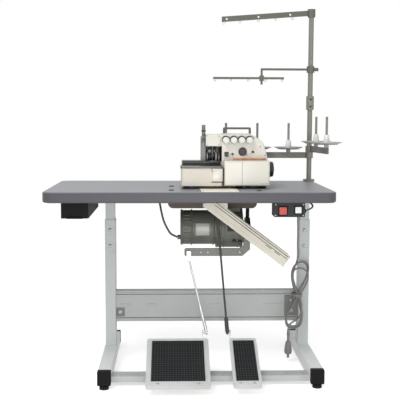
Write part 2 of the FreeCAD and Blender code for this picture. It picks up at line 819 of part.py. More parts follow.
# Belt loop round the two pulleys: a straight-sided outline rounded about each of them
def make_belt():
    low = FreeCAD.Vector(SIZES["motor_y"], SIZES["motor_z"], 0)
    high = FreeCAD.Vector(SIZES["shaft_y"], SIZES["shaft_z"], 0)
    span = high - low
    faces = []
    for extra in (SIZES["belt_gap"] + SIZES["belt_thick"], SIZES["belt_gap"]):
        low_radius = SIZES["motor_pulley_radius"] + extra
        high_radius = SIZES["head_pulley_radius"] + extra
        lean = math.acos((low_radius - high_radius) / span.Length)
        heading = math.atan2(span.y, span.x)
        ends = []
        for sign in (1, -1):
            out = FreeCAD.Vector(math.cos(heading + sign * lean), math.sin(heading + sign * lean), 0)
            ends.append((low + out * low_radius, high + out * high_radius))
        unit = span / span.Length
        edges = [Part.LineSegment(ends[0][0], ends[0][1]).toShape(),
                 Part.Arc(ends[0][1], high + unit * high_radius, ends[1][1]).toShape(),
                 Part.LineSegment(ends[1][1], ends[1][0]).toShape(),
                 Part.Arc(ends[1][0], low - unit * low_radius, ends[0][0]).toShape()]
        faces.append(Part.Face(Part.Wire(edges)))
    loop = faces[0].cut(faces[1]).extrude(FreeCAD.Vector(0, 0, SIZES["belt_width"]))
    belt = doc.addObject("Part::Feature", "Belt")
    belt.Shape = loop
    turn = FreeCAD.Rotation(AXES["y"], AXES["z"], AXES["x"], "ZXY")
    place(belt, "belt_x - belt_width / 2", 0, 0, turn)
    node("drive_belt", belt)


# Switch box with two push buttons in their wells
def make_switch():
    case = block(("switch_left", "switch_right"), ("switch_front", "switch_rear"), ("switch_bottom",
            "table_under"))
    shell = rounded(case, 4, along("y"))
    wells = []
    for name in ("stop", "start"):
        x, z, half = f"{name}_x", f"{name}_z", f"{name}_half"
        room = f"({half} + button_gap)"
        wells.append(block((f"{x} - {room}", f"{x} + {room}"), ("switch_front",
                "switch_front + button_deep + 6"),
                           (f"{z} - {room}", f"{z} + {room}")))
        key = block((f"{x} - {half}", f"{x} + {half}"), ("switch_front - button_out",
                                                         "switch_front + button_deep"),
                    (f"{z} - {half}", f"{z} + {half}"))
        node(f"{name}_button", rounded(key, 2, along("y")))
    gland = round_bar("x", "8", "8", "switch_right", "cord_y", "cord_z")
    passage = round_bar("x", "cord_radius", "8", "switch_right", "cord_y", "cord_z")
    node("switch_box", carved(joined(shell, gland), passage, *wells))


# Waste chute: a duct through the table that opens into a sloping trough
def make_chute():
    gap = "duct_gap"
    wall = "chute_wall"
    slope = FreeCAD.Rotation(AXES["y"], SIZES["chute_slope"])
    left, right = f"duct_left + {gap}", f"duct_right - {gap}"
    front, rear = f"duct_front + {gap}", f"duct_rear - {gap}"
    duct = block((left, right), (front, rear), ("duct_bottom", "table_top_z + chute_wall"))
    lip = block(("duct_left - flange_out", "duct_right + flange_out"), ("duct_front - 12",
            "duct_rear + 12"),
                ("table_top_z", "table_top_z + chute_wall"))
    trough = slanted_block("chute_length", f"({rear}) - ({front})", "chute_height", "chute_start_x", front,
                           "chute_start_z", slope)
    above = block(("chute_start_x - 60", "duct_right + 100"), (front, rear), ("table_under",
            "table_under + 80"))
    ahead = block(("chute_start_x - 60", left), ("duct_front - 20", "duct_rear + 20"), ("duct_bottom - 80",
            "head_bottom"))
    way = block((f"{left} + {wall}", f"{right} - {wall}"), (f"{front} + {wall}", f"{rear} - {wall}"),
                ("duct_bottom + 26", "table_top_z + chute_wall"))
    hollow = slanted_block("chute_length + 20", f"({rear}) - ({front}) - 2 * {wall}", "chute_height",
                           "chute_start_x + chute_wall * sin(chute_slope * 1deg)", f"{front} + {wall}",
                           "chute_start_z + chute_wall * cos(chute_slope * 1deg)", slope)
    below = slanted_block("chute_length", f"({rear}) - ({front}) + 40", "120",
                          "chute_start_x - 120 * sin(chute_slope * 1deg)", f"{front} - 20",
                          "chute_start_z - 120 * cos(chute_slope * 1deg)", slope)
    open_trough = carved(carved(trough, hollow), above, ahead)
    open_duct = carved(carved(joined(duct, lip), way), below, hollow)
    node("waste_chute", joined(open_duct, open_trough))


# Head casing: a bed in two steps with an arm on its right, hollow round the belt pulley
def make_casing():
    right = block(("pillar_left", "bed_right"), ("bed_front", "bed_rear"), ("head_bottom", "bed_top"))
    left = block(("bed_left", "pillar_left"), ("bed_step", "bed_rear"), ("head_bottom", "bed_top"))
    arm = new_body(0, "arm_rear", 0)
    sketch = sketch_on(arm, "XZ_Plane")
    polygon(sketch, [("pillar_left", "bed_top - 4"), ("pillar_left", "arm_under"), ("arm_left",
            "arm_under"),
                     ("arm_left", "arm_top"), ("shoulder_x", "arm_top"), ("shoulder_mid_x",
                             "shoulder_mid_z"),
                     ("bed_right", "shoulder_end_z"), ("bed_right", "bed_top - 4")])
    pad(arm, sketch, "arm_rear - arm_front")
    soften(arm, "24", lambda edge: along("y")(edge) and amount("shoulder_x") - 1 < edge.BoundBox.XMax
           - amount("table_x") < amount("bed_right") + 1
           and edge.BoundBox.ZMax > amount("shoulder_end_z") - 1)
    soften(arm, "5",
           lambda edge: edge.BoundBox.YLength < 0.01 and edge.BoundBox.ZMax > amount("shoulder_mid_z"))
    posts = []
    for i in range(4):
        posts.append(round_bar("y", "post_radius", "20", f"knob_first_x + {i} * knob_step",
                               "arm_front - 14", "knob_z"))
    room = block(("belt_x - 16", "belt_x + 16"), ("shaft_y - 42", "shaft_y + 50"), ("head_bottom",
            "shaft_z + 42"))
    bore = round_bar("x", "shaft_radius + shaft_gap", "100", "belt_x", "shaft_y", "shaft_z")
    guide = round_bar("z", "needle_radius + shaft_gap", "44", "needle_x", "needle_y", "arm_under - 1")
    node("head_casing", carved(joined(right, left, arm, *posts), room, bore, guide))
    cushions = []
    for x, y in ((-10, -25), (-10, 60), (280, -78), (280, 60), (188, -78)):
        cushions.append(round_bar("z", "cushion_radius", "head_bottom - table_top_z", x, y, "table_top_z"))
    node("head_cushions", joined(*cushions))


# Covers of the head: the looper cover swings down, the cloth plate and side cover swing out
def on_outer_corner(edge):
    """Whether an edge is at the front, or at the left where the cloth plate turns."""
    front = edge.BoundBox.YMax - amount("table_y") < amount("cover_front") + 1
    left = edge.BoundBox.XMax - amount("table_x") < amount("side_left") + 1
    return front or left


def make_covers():
    wall = "cover_wall"
    rear = "bed_front - cover_gap"
    shell = block(("cover_left", "cover_right"), ("cover_front", rear), ("head_bottom", "cover_top"))
    soft = rounded(shell, 6,
                   lambda edge: edge.BoundBox.YMax - amount("table_y") < amount("cover_front") + 1)
    space = block((f"cover_left + {wall}", f"cover_right - {wall}"), (f"cover_front + {wall}", rear),
                  (f"head_bottom + {wall}", f"cover_top - {wall}"))
    node("front_cover", carved(soft, space))
    back = "bed_step - cover_gap"
    side = block(("side_left", "side_right"), ("cover_front", back), ("head_bottom", "side_top"))
    side_soft = rounded(side, 6, lambda edge: along("z")(edge) and on_outer_corner(edge))
    hollow = block((f"side_left + {wall}", "side_right"), (f"cover_front + {wall}", back),
                   ("head_bottom", "side_top"))
    node("side_cover", carved(side_soft, hollow))
    plate = block(("side_left - 2", "side_right"), ("cover_front - 2", back), ("side_top", "plate_top"))
    node("cloth_plate", rounded(plate, 6, lambda edge: along("z")(edge) and on_outer_corner(edge)))
    face = block(("arm_left", "arm_left + 53"), ("arm_front - face_thick", "arm_front"), ("face_low",
            "arm_top - 1"))
    node("face_plate", rounded(face, 3, along("y")))


# Needle bar, presser foot, presser regulator, tension knobs, oil window, handle and shaft
def make_mechanism():
    bar = round_bar("z", "needle_radius", "46", "needle_x", "needle_y", "bed_top + 26")
    clamp = round_bar("z", "needle_radius + 2", "9", "needle_x", "needle_y", "bed_top + 20")
    needle = round_bar("z", "1", "18", "needle_x", "needle_y", "bed_top + 4")
    node("needle_bar", joined(bar, clamp, needle))
    sole = block(("foot_x - 12", "foot_x + 16"), ("needle_y - 26", "needle_y + 14"), ("bed_top + 0.4",
            "bed_top + 3.4"))
    slit = block(("foot_x - 3", "foot_x + 3"), ("needle_y - 4", "needle_y + 4"), ("bed_top", "bed_top + 4"))
    shank = block(("foot_x + 10", "foot_x + 16"), ("needle_y - 6", "needle_y + 6"), ("bed_top + 3",
            "bed_top + 44"))
    arm = block(("foot_x - 20", "foot_x + 16"), ("needle_y + 8", "needle_y + 16"), ("bed_top + 34",
            "bed_top + 44"))
    link = block(("foot_x + 10", "foot_x + 16"), ("needle_y - 6", "needle_y + 16"), ("bed_top + 34",
            "bed_top + 44"))
    node("presser_foot", joined(carved(sole, slit), shank, arm, link))
    post = round_bar("z", "regulator_radius", "regulator_top - bed_top", "regulator_x", "regulator_y",
                     "bed_top")
    stand = block(("regulator_x - 11", "regulator_x + 6.5"), ("regulator_y - 22", "regulator_y + 24"),
                  ("bed_top", "arm_under + 36"))
    node("presser_regulator", joined(post, stand))
    for i in range(4):
        x = f"knob_first_x + {i} * knob_step"
        dome = round_bar("y", "knob_radius", "knob_out - 5", x, "arm_front - knob_out", "knob_z")
        soft = rounded(dome, 6, lambda edge: edge.BoundBox.YMax - amount("table_y") < -100)
        well = round_bar("y", "post_radius + shaft_gap", "knob_out", x, "arm_front - 14.4", "knob_z")
        node(f"tension_knob_{i + 1}", carved(soft, well))
    node("oil_window", round_bar("y", "window_radius", "window_out", "window_x", "arm_front - window_out",
                                 "window_z"))
    frame = block(("handle_left", "handle_right"), ("handle_y - 5", "handle_y + 5"), ("arm_top",
            "handle_top"))
    gap = block(("handle_left + handle_bar", "handle_right - handle_bar"), ("handle_y - 5", "handle_y + 5"),
                ("arm_top", "handle_top - handle_bar"))
    bent = rounded(frame, 6,
                   lambda edge: along("y")(edge) and edge.BoundBox.ZMax > amount("handle_top") - 1)
    node("carry_handle", carved(bent, gap))
    axle = round_bar("x", "shaft_radius", "wheel_right - 4 - belt_x", "belt_x", "shaft_y", "shaft_z")
    grooved = pulley("shaft_y", "shaft_z", "head_pulley_radius", "2")
    node("main_shaft", joined(axle, grooved))
    wide = "(wheel_right - wheel_left)"
    node("handwheel", lathe("wheel_left", "shaft_y", "shaft_z", [
        ("shaft_radius", "0"), ("16", "0"), ("16", "3"), ("wheel_radius - 7", "5"), ("wheel_radius - 5",
                "2"),
        ("wheel_radius", "3"), ("wheel_radius", f"{wide} - 3"), ("wheel_radius - 5", wide),
        ("wheel_radius - 8", f"{wide} - 5"), ("15", f"{wide} - 6"), ("14", wide), ("shaft_radius", wide)],
        "x"))


# Thread stand: mast in two lengths, with its coupler, arms and spool rests
def make_stand():
    inner = "mast_radius - mast_wall"
    node("mast_lower", lathe("mast_x", "mast_y", 0, [
        (inner, "mast_bottom"), ("mast_radius", "mast_bottom"), ("mast_radius",
                "table_under - mast_nut_thick"),
        ("mast_under_nut", "table_under - mast_nut_thick"), ("mast_under_nut", "table_under"),
        ("mast_radius", "table_under"),
        ("mast_radius", "table_top_z"), ("mast_nut", "table_top_z"), ("mast_nut",
                "table_top_z + mast_nut_thick"),
        ("mast_radius", "table_top_z + mast_nut_thick"), ("mast_radius", "mast_joint"), (inner,
                "mast_joint")]))
    node("mast_upper", lathe("mast_x", "mast_y", 0, [
        (inner, "mast_joint"), ("mast_radius", "mast_joint"), ("mast_radius", "mast_end"), (inner,
                "mast_end")]))
    node("mast_coupler", collar("coupler_radius", "coupler_low", "coupler_high", "mast_radius"))
    loose = "mast_radius + clamp_gap"
    top = new_body(0, "mast_y + top_arm_thick / 2", 0)
    sketch = sketch_on(top, "XZ_Plane")
    high = "top_arm_low + 5 + top_arm_tall"
    polygon(sketch, [("mast_x - 12", "top_arm_low + 5"), ("mast_x - 12", high),
                     ("top_arm_end_x", f"{high} - top_arm_drop"),
                     ("top_arm_end_x", "top_arm_low + 5 - top_arm_drop")])
    for i in range(3):
        ring(sketch, "4", f"mast_x - spool_first - {i} * spool_step",
             f"top_arm_low + 5 + top_arm_tall / 2 - top_arm_drop * (spool_first + {i} * spool_step) / 369")
    pad(top, sketch, "top_arm_thick")
    cap = round_bar("z", "clamp_radius", "top_arm_high - top_arm_low", "mast_x", "mast_y", "top_arm_low")
    well = round_bar("z", loose, "mast_end + 1 - top_arm_low", "mast_x", "mast_y", "top_arm_low")
    node("top_arm", carved(joined(cap, top), well))
    ring_low = "guide_z - guide_clamp_half"
    hub = round_bar("z", "clamp_radius", "2 * guide_clamp_half", "mast_x", "mast_y", ring_low)
    hole = round_bar("z", loose, "2 * guide_clamp_half", "mast_x", "mast_y", ring_low)
    bend = ("guide_end_x", "mast_y", "guide_z")
    rod = strut(("mast_x", "mast_y", "guide_z"), bend, "guide_rod_radius")
    drop = strut(("guide_end_x", "mast_y", "guide_end_z"), bend, "guide_rod_radius")
    knob = round_bar("x", "7", "18", "mast_x + clamp_radius - 2", "mast_y", "guide_z")
    node("guide_arm", carved(joined(hub, rod, drop, knob, ball("guide_rod_radius", *bend)), hole))
    bar = block(("guide_bar_left", "guide_bar_right"), ("mast_y - guide_rod_radius - 5",
                                                        "mast_y - guide_rod_radius"),
                ("guide_bar_z - guide_bar_tall / 2", "guide_bar_z + guide_bar_tall / 2"))
    clip = block(("guide_end_x - 9", "guide_end_x + 9"), ("mast_y - guide_rod_radius - 5", "mast_y + 8"),
                 ("guide_bar_z - 11", "guide_bar_z + 11"))
    grip = round_bar("z", "guide_rod_radius", "40", "guide_end_x", "mast_y", "guide_bar_z - 20")
    node("guide_bar", carved(joined(bar, clip), grip))
    make_spool_arms()


def collar(radius, low, high, bore):
    """A ring about the mast."""
    outer = round_bar("z", radius, f"({high}) - ({low})", "mast_x", "mast_y", low)
    inner = round_bar("z", bore, f"({high}) - ({low})", "mast_x", "mast_y", low)
    return carved(outer, inner)


# Spool arms with a disc, a cone and a pin at each of five places
def make_spool_arms():
    half = "spool_arm_tall / 2"
    reach = "spool_first + 2 * spool_step + spool_arm_past"
    left = block((f"mast_x - ({reach})", "mast_x - mast_radius - 2"),
                 ("mast_y - spool_arm_thick / 2", "mast_y + spool_arm_thick / 2"),
                 (f"spool_arm_z - {half}", f"spool_arm_z + {half}"))
    left_clamp = collar("clamp_radius", f"spool_arm_z - {half}", f"spool_arm_z + {half}", "mast_radius")
    node("spool_arm_left", joined(left, left_clamp))
    turn = FreeCAD.Rotation(AXES["z"], SIZES["front_arm_turn"])
    east = "cos(front_arm_turn * 1deg)"
    north = "sin(front_arm_turn * 1deg)"
    offset = "spool_arm_thick / 2"
    front = slanted_block("spool_first + spool_step + spool_arm_past - 12", "spool_arm_thick",
                          "spool_arm_tall",
                          f"mast_x + 12 * {east} + {offset} * {north}",
                          f"mast_y + 12 * {north} - {offset} * {east}",
                          f"front_arm_z - {half}", turn)
    front_clamp = collar("clamp_radius", f"front_arm_z - {half}", f"front_arm_z + {half}", "mast_radius")
    node("spool_arm_front", joined(front, front_clamp))
    places = []
    for i in range(3):
        places.append((f"mast_x - spool_first - {i} * spool_step", "mast_y", f"spool_arm_z + {half}"))
    for i in range(2):
        far = f"(spool_first + {i} * spool_step)"
        places.append((f"mast_x + {far} * {east}", f"mast_y + {far} * {north}", f"front_arm_z + {half}"))
    discs, cones, pins = [], [], []
    for x, y, z in places:
        floor = "disc_above - 4"
        discs.append(lathe(x, y, z, [
            ("pin_radius", "0"), ("9", "0"), ("9", f"{floor} - disc_sheet"), ("40",
                    f"{floor} - disc_sheet + 1"),
            ("disc_radius", f"{floor} + disc_rim - 2"), ("disc_radius", f"{floor} + disc_rim"),
            ("39", f"{floor} + 1.5"), ("20", floor), ("pin_radius", floor)]))
        cones.append(lathe(x, y, z, [
            ("pin_radius", floor), ("cone_radius", floor), ("cone_tip", f"{floor} + cone_height"),
            ("pin_radius", f"{floor} + cone_height")]))
        pins.append(lathe(x, y, z, [
            ("0", "0"), ("pin_radius", "0"), ("pin_radius", f"{floor} + cone_height"),
            ("pin_tip", f"{floor} + cone_height"), ("pin_tip", f"{floor} + pin_rise"), ("0",
                    f"{floor} + pin_rise")]))
    node("spool_discs", joined(*discs))
    node("spool_cones", joined(*cones))
    node("spool_pins", joined(*pins))


def cord(label, points, radius):
    """A round tube along straight runs joined by tangent arcs as large as the runs allow."""
    shift = FreeCAD.Vector(SIZES["table_x"], SIZES["table_y"], 0)
    stops = [FreeCAD.Vector(*point) + shift for point in points]
    edges = []
    start = stops[0]
    length = 0
    for before, corner, after in zip(stops, stops[1:], stops[2:]):
        inward = corner - before
        outward = after - corner
        run = min(inward.Length, outward.Length)
        inward.normalize()
        outward.normalize()
        turn = math.acos(max(-1.0, min(1.0, inward.dot(outward))))
        setback = 0.45 * run
        bend = setback / math.tan(turn / 2)
        print(label, "radius", round(bend, 1), "turn", round(math.degrees(turn), 1))
        first = corner - inward * setback
        last = corner + outward * setback
        inside = outward - inward
        inside.normalize()
        crest = corner + inside * (math.hypot(setback, bend) - bend)
        edges.append(Part.LineSegment(start, first).toShape())
        edges.append(Part.Arc(first, crest, last).toShape())
        length += (first - start).Length + bend * turn
        start = last
    edges.append(Part.LineSegment(start, stops[-1]).toShape())
    length += (stops[-1] - start).Length
    path = Part.Wire(edges)
    heading = stops[1] - stops[0]
    section = Part.Wire([Part.Circle(stops[0], heading, radius).toShape()])
    tube = path.makePipeShell([section], True, True)
    print(label, "volume share", round(tube.Volume / (math.pi * radius ** 2 * length), 4))
    feature = doc.addObject("Part::Feature", "Cord")
    feature.Shape = tube
    return node(label, feature)


# Motor cable clipped under the table, and the power cord with its hank and plug by the right column
CABLE_ROUTE = [
    (-44, 40, 541), (-72, 41, 553), (-98, 44, 600), (-111, 52, 655), (-118, 90, 696), (-104, 140, 702),
    (-50, 166, 703), (290, 168, 703), (352, 130, 702), (358, -100, 698), (358, -150, 684), (358, -188, 682)]
CORD_ROUTE = [
    (423, -215, 675), (452, -201, 683), (459, -150, 692), (455, -70, 694), (458, 14, 693), (453, 82, 689),
    (450, 120, 664), (448, 127, 612), (452, 127, 540), (449, 125, 488), (457, 122, 455)]


# The cord's height where the hank starts, and how far above it the cord takes up the table's whole rise
CORD_STILL = 455
CORD_EASE = 150


def raised(route, still):
    """A route that rises with the table, less and less down to a height that stays still."""
    moved = []
    for x, y, z in route:
        share = min(1, max(0, (z - still) / CORD_EASE))
        moved.append((x, y, z + TABLE_RISE * share))
    return moved


def make_cords():
    cord("motor_cable", raised(CABLE_ROUTE, 0), SIZES["cable_radius"])
    cord("power_cord", raised(CORD_ROUTE, CORD_STILL), SIZES["cord_radius"])
    lean = math.degrees(math.atan2(SIZES["hank_top_x"] - SIZES["hank_bottom_x"],
                                   SIZES["hank_top_z"] - SIZES["hank_bottom_z"]))
    hank = slanted_block("2 * hank_half_width", "2 * hank_half_depth", "hank_top_z - hank_bottom_z",
                         "hank_bottom_x - hank_half_width", "hank_y - hank_half_depth", "hank_bottom_z",
                         FreeCAD.Rotation(AXES["y"], lean))
    node("cord_hank", rounded(hank, 18, lambda edge: True))
    node("power_plug", lathe("plug_x", "hank_y", 0, [
        ("0", "plug_bottom_z"), ("5", "plug_bottom_z"), ("5", "plug_bottom_z + 18"),
        ("plug_radius", "plug_bottom_z + 18"), ("plug_radius + 2", "plug_bottom_z + 30"),
        ("plug_radius - 3", "plug_bottom_z + 66"), ("cord_radius + 2", "plug_bottom_z + 72"),
        ("cord_radius + 1", "hank_bottom_z + 22"), ("0", "hank_bottom_z + 22")]))


make_table()
make_leg("left", "left_leg_x")
make_leg("right", "right_leg_x")
node("inner_columns", joined(*inner_columns))
node("foot_tubes", joined(*foot_tubes))
make_feet()
make_rear_rail()
make_foot_rail()
make_drawer()
make_treadle("large", "96", "98")
make_treadle("small", "-51.5", "-66")
node("treadle_brackets", joined(*treadle_brackets))
make_rods()
make_motor()
make_lever()
make_belt()
make_switch()
make_chute()
make_casing()
make_covers()
make_mechanism()
make_stand()
make_cords()
sheet.clear("D1")
doc.recompute()

# Every object has to be sound before anything is written
faults = [item.Name for item in doc.Objects if {"Invalid", "Error"} & set(item.State)]
faults += [item.Label for item in nodes if item.Shape.isNull() or not item.Shape.isValid()]
if faults:
    raise RuntimeError(f"unsound objects: {faults}")
os.makedirs("parts", exist_ok=True)
whole = FreeCAD.BoundBox()
loose = ("power_cord", "cord_hank", "power_plug")
for item in nodes:
    item.Shape.exportStep(f"parts/{item.Label}.step")
    if item.Label not in loose:
        whole.add(item.Shape.BoundBox)
print(len(nodes), "nodes", whole)
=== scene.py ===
import math

import bmesh
import bpy
import numpy as np
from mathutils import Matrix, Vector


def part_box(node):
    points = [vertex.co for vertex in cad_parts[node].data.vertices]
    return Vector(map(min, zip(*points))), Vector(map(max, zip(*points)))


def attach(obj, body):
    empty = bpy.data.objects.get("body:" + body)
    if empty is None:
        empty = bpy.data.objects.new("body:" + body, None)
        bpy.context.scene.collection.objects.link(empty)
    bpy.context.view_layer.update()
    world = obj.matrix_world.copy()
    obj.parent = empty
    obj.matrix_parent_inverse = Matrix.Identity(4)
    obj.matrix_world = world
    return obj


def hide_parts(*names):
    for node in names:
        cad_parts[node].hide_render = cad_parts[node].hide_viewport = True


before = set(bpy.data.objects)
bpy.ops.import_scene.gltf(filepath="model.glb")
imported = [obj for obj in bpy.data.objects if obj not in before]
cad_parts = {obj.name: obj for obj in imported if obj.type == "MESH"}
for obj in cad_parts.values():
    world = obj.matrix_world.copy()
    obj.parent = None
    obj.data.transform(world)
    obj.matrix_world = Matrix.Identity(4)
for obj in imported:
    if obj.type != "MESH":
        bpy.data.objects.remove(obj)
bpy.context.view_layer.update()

# Places are written in millimetres from the floor point below the table's centre.
TABLE_LOW, TABLE_HIGH = (np.array(corner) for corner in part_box("table_top"))
CENTRE = np.array([(TABLE_LOW[0] + TABLE_HIGH[0]) / 2, (TABLE_LOW[1] + TABLE_HIGH[1]) / 2, 0.0])
MM = 0.001


def place(points):
    """Points in millimetres from the table's centre, as metres in the part's frame."""
    return np.asarray(points, dtype=float) * MM + CENTRE


def srgb(red, green, blue):
    """A colour read on a 0 to 255 screen, as linear light."""
    share = np.array([red, green, blue]) / 255
    low = share / 12.92
    high = ((share + 0.055) / 1.055) ** 2.4
    return tuple(np.where(share <= 0.04045, low, high)) + (1.0,)


# Finishes

# sockets of a colour mix node
MIX_UNDER, MIX_OVER, MIX_RESULT = 6, 7, 2
# how far the fine noise moves the roughness, and the smoothest that it may leave
ROUGH_SWING, ROUGH_LEAST = 0.07, 0.03
BUMP_STRENGTH = 0.35
# part of a noise's range over which one colour turns into the other
RAMP_LOW, RAMP_HIGH = 0.3, 0.7
# a cloud's strength times this is the share of the accent colour at its darkest
CLOUD_GAIN = 10
WORN_SHADE = np.array([0.9, 0.9, 0.9, 1])


def finish(name, colour, rough=0.5, metal=0.0, cloud=(6, 0.06), grain=(400, 0.05), relief=(400, 0.02),
           stretch=(1, 1, 1), coat=0.0, accent=None, above=None, marked=None, shine=0.5):
    """A finish on object coordinates: a wide noise shades the colour as cloudy wear and a fine one as grain.
    The fine noise also moves the roughness and, as a bump, the surface; stretch draws the grain out.
    Above two heights a second colour takes over, and a named attribute of the mesh brings in a third."""
    mat = bpy.data.materials.new(name)
    mat.use_nodes = True
    tree = mat.node_tree
    shader = tree.nodes["Principled BSDF"]
    shader.inputs["Metallic"].default_value = metal
    shader.inputs["Coat Weight"].default_value = coat
    shader.inputs["Specular IOR Level"].default_value = shine
    coords = tree.nodes.new("ShaderNodeTexCoord")
    mapping = tree.nodes.new("ShaderNodeMapping")
    mapping.inputs["Scale"].default_value = stretch
    tree.links.new(coords.outputs["Object"], mapping.inputs["Vector"])
    wide = noise(tree, coords.outputs["Object"], cloud[0], 4)
    fine = noise(tree, mapping.outputs["Vector"], grain[0], 3)
    base = np.array(colour)
    other = np.array(accent) if accent else base * WORN_SHADE
    cloudy = blend_colours(tree, wide, base, base + (other - base) * min(1.0, cloud[1] * CLOUD_GAIN))
    # a second colour above two heights; the table top uses it as painted light on its top face
    if above:
        cloudy = cover_with(tree, cloudy, height_share(tree, coords, above[0], above[1]), above[2])
    if marked:
        cloudy = cover_with(tree, cloudy, attribute_share(tree, marked[0]), marked[1])
    speckle = tree.nodes.new("ShaderNodeMix")
    speckle.data_type = "RGBA"
    speckle.blend_type = "MULTIPLY"
    speckle.inputs["Factor"].default_value = 1.0
    tint = blend_colours(tree, fine, np.array([1 - grain[1]] * 3 + [1]), np.array([1 + grain[1]] * 3 + [1]))
    tree.links.new(cloudy, speckle.inputs[MIX_UNDER])
    tree.links.new(tint, speckle.inputs[MIX_OVER])
    tree.links.new(speckle.outputs[MIX_RESULT], shader.inputs["Base Color"])
    spread = tree.nodes.new("ShaderNodeMapRange")
    spread.inputs["To Min"].default_value = max(ROUGH_LEAST, rough - ROUGH_SWING)
    spread.inputs["To Max"].default_value = min(1.0, rough + ROUGH_SWING)
    tree.links.new(fine, spread.inputs["Value"])
    tree.links.new(spread.outputs["Result"], shader.inputs["Roughness"])
    bump = tree.nodes.new("ShaderNodeBump")
    bump.inputs["Strength"].default_value = BUMP_STRENGTH
    bump.inputs["Distance"].default_value = relief[1] * MM
    tree.links.new(noise(tree, mapping.outputs["Vector"], relief[0], 2), bump.inputs["Height"])
    tree.links.new(bump.outputs["Normal"], shader.inputs["Normal"])
    return mat


def cover_with(tree, under, share, colour):
    """A colour laid over another by a share from 0 to 1."""
    layer = tree.nodes.new("ShaderNodeMix")
    layer.data_type = "RGBA"
    tree.links.new(share, layer.inputs["Factor"])
    tree.links.new(under, layer.inputs[MIX_UNDER])
    layer.inputs[MIX_OVER].default_value = colour
    return layer.outputs[MIX_RESULT]


def height_share(tree, coords, low, high):
    """A share that rises from 0 to 1 between two heights in metres."""
    axes = tree.nodes.new("ShaderNodeSeparateXYZ")
    climb = tree.nodes.new("ShaderNodeMapRange")
    climb.inputs["From Min"].default_value = low
    climb.inputs["From Max"].default_value = high
    tree.links.new(coords.outputs["Object"], axes.inputs["Vector"])
    tree.links.new(axes.outputs["Z"], climb.inputs["Value"])
    return climb.outputs["Result"]


def attribute_share(tree, name):
    """A share read from the mesh's own attribute."""
    mark = tree.nodes.new("ShaderNodeAttribute")
    mark.attribute_name = name
    return mark.outputs["Fac"]


def noise(tree, vector, scale, detail):
    """A noise texture's value over a vector."""
    texture = tree.nodes.new("ShaderNodeTexNoise")
    texture.inputs["Scale"].default_value = scale
    texture.inputs["Detail"].default_value = detail
    tree.links.new(vector, texture.inputs["Vector"])
    return texture.outputs["Fac"]


def blend_colours(tree, factor, first, second):
    """A ramp between two colours over the middle of a noise's range."""
    ramp = tree.nodes.new("ShaderNodeValToRGB")
    ramp.color_ramp.elements[0].position = RAMP_LOW
    ramp.color_ramp.elements[1].position = RAMP_HIGH
    ramp.color_ramp.elements[0].color = tuple(first)
    ramp.color_ramp.elements[1].color = tuple(second)
    tree.links.new(factor, ramp.inputs["Fac"])
    return ramp.outputs["Color"]


# painted light and shade: the table's edges and underside get a dark grey and its top face, above 743.5 mm,
# a lighter grey, for how light falls on them
LAMINATE_LIT_TOP_SHADED_EDGE = finish("grey_laminate_lit_top_shaded_edge", srgb(82, 82, 87), 0.42, cloud=(3, 0.04), grain=(900, 0.1),
                  relief=(700, 0.03), above=(0.7435, 0.7478, srgb(138, 140, 144)), shine=0.2)
LEG_ENAMEL = finish("leg_powder_coat", srgb(192, 195, 196), 0.48, cloud=(4, 0.05), grain=(700, 0.03),
                    relief=(900, 0.05))
# painted light: a lighter copy of the leg powder coat for the foot tubes, whose tops catch more light
LIT_FOOT_ENAMEL = finish("foot_powder_coat_painted_light", srgb(224, 227, 227), 0.46, cloud=(5, 0.06), grain=(700, 0.03),
                     relief=(900, 0.05))
RAIL_ENAMEL = finish("rail_powder_coat", srgb(184, 186, 185), 0.5, cloud=(5, 0.05), grain=(700, 0.04),
                     relief=(900, 0.05), accent=srgb(164, 166, 165))
CAP_PLASTIC = finish("cap_plastic", srgb(14, 14, 15), 0.62, grain=(500, 0.08), relief=(800, 0.08),
                     shine=0.15)
RUBBER = finish("black_rubber", srgb(24, 24, 25), 0.75, grain=(600, 0.1), relief=(500, 0.1), shine=0.2)
MAT_RUBBER = finish("mat_rubber", srgb(16, 18, 20), 0.7, cloud=(14, 0.04), grain=(500, 0.12),
                    relief=(600, 0.12), accent=srgb(26, 28, 29), marked=("groove", srgb(92, 95, 95)),
                    shine=0.12)
TREADLE_ENAMEL = finish("treadle_enamel", srgb(206, 208, 207), 0.38, cloud=(10, 0.06), grain=(300, 0.02),
                        relief=(250, 0.04), accent=srgb(184, 184, 180))
ZINC = finish("zinc_plate", srgb(176, 177, 175), 0.34, 0.85, cloud=(40, 0.08), grain=(500, 0.06))
DARK_STEEL = finish("blackened_steel", srgb(62, 60, 60), 0.42, 0.6, cloud=(30, 0.08), grain=(500, 0.1))
BRUSHED = finish("brushed_steel", srgb(88, 90, 87), 0.32, 0.75, cloud=(20, 0.06), grain=(160, 0.08),
                 stretch=(0.6, 14, 14))
MOTOR_PAINT = finish("hammer_paint", srgb(100, 101, 93), 0.45, cloud=(12, 0.08), grain=(260, 0.08),
                     relief=(220, 0.16), accent=srgb(80, 80, 72))
LEVER_PAINT = finish("lever_paint", srgb(122, 122, 118), 0.5, cloud=(14, 0.08), grain=(300, 0.06),
                     relief=(300, 0.1))
PLYWOOD = finish("stained_plywood", srgb(88, 74, 62), 0.6, cloud=(8, 0.09), grain=(60, 0.16),
                 relief=(60, 0.15), stretch=(0.4, 6, 9), accent=srgb(66, 54, 45))
CREAM = finish("cream_enamel", srgb(211, 208, 198), 0.36, cloud=(7, 0.05), grain=(300, 0.02),
               relief=(260, 0.04), coat=0.15, accent=srgb(200, 195, 182))
# painted shade: a darker copy of the cream enamel for the side cover, which faces away from the light
SHADOW_SIDE_CREAM = finish("side_enamel_painted_shade", srgb(196, 188, 177), 0.38, cloud=(9, 0.06), grain=(300, 0.02),
                     relief=(260, 0.04), coat=0.15, accent=srgb(182, 174, 160))
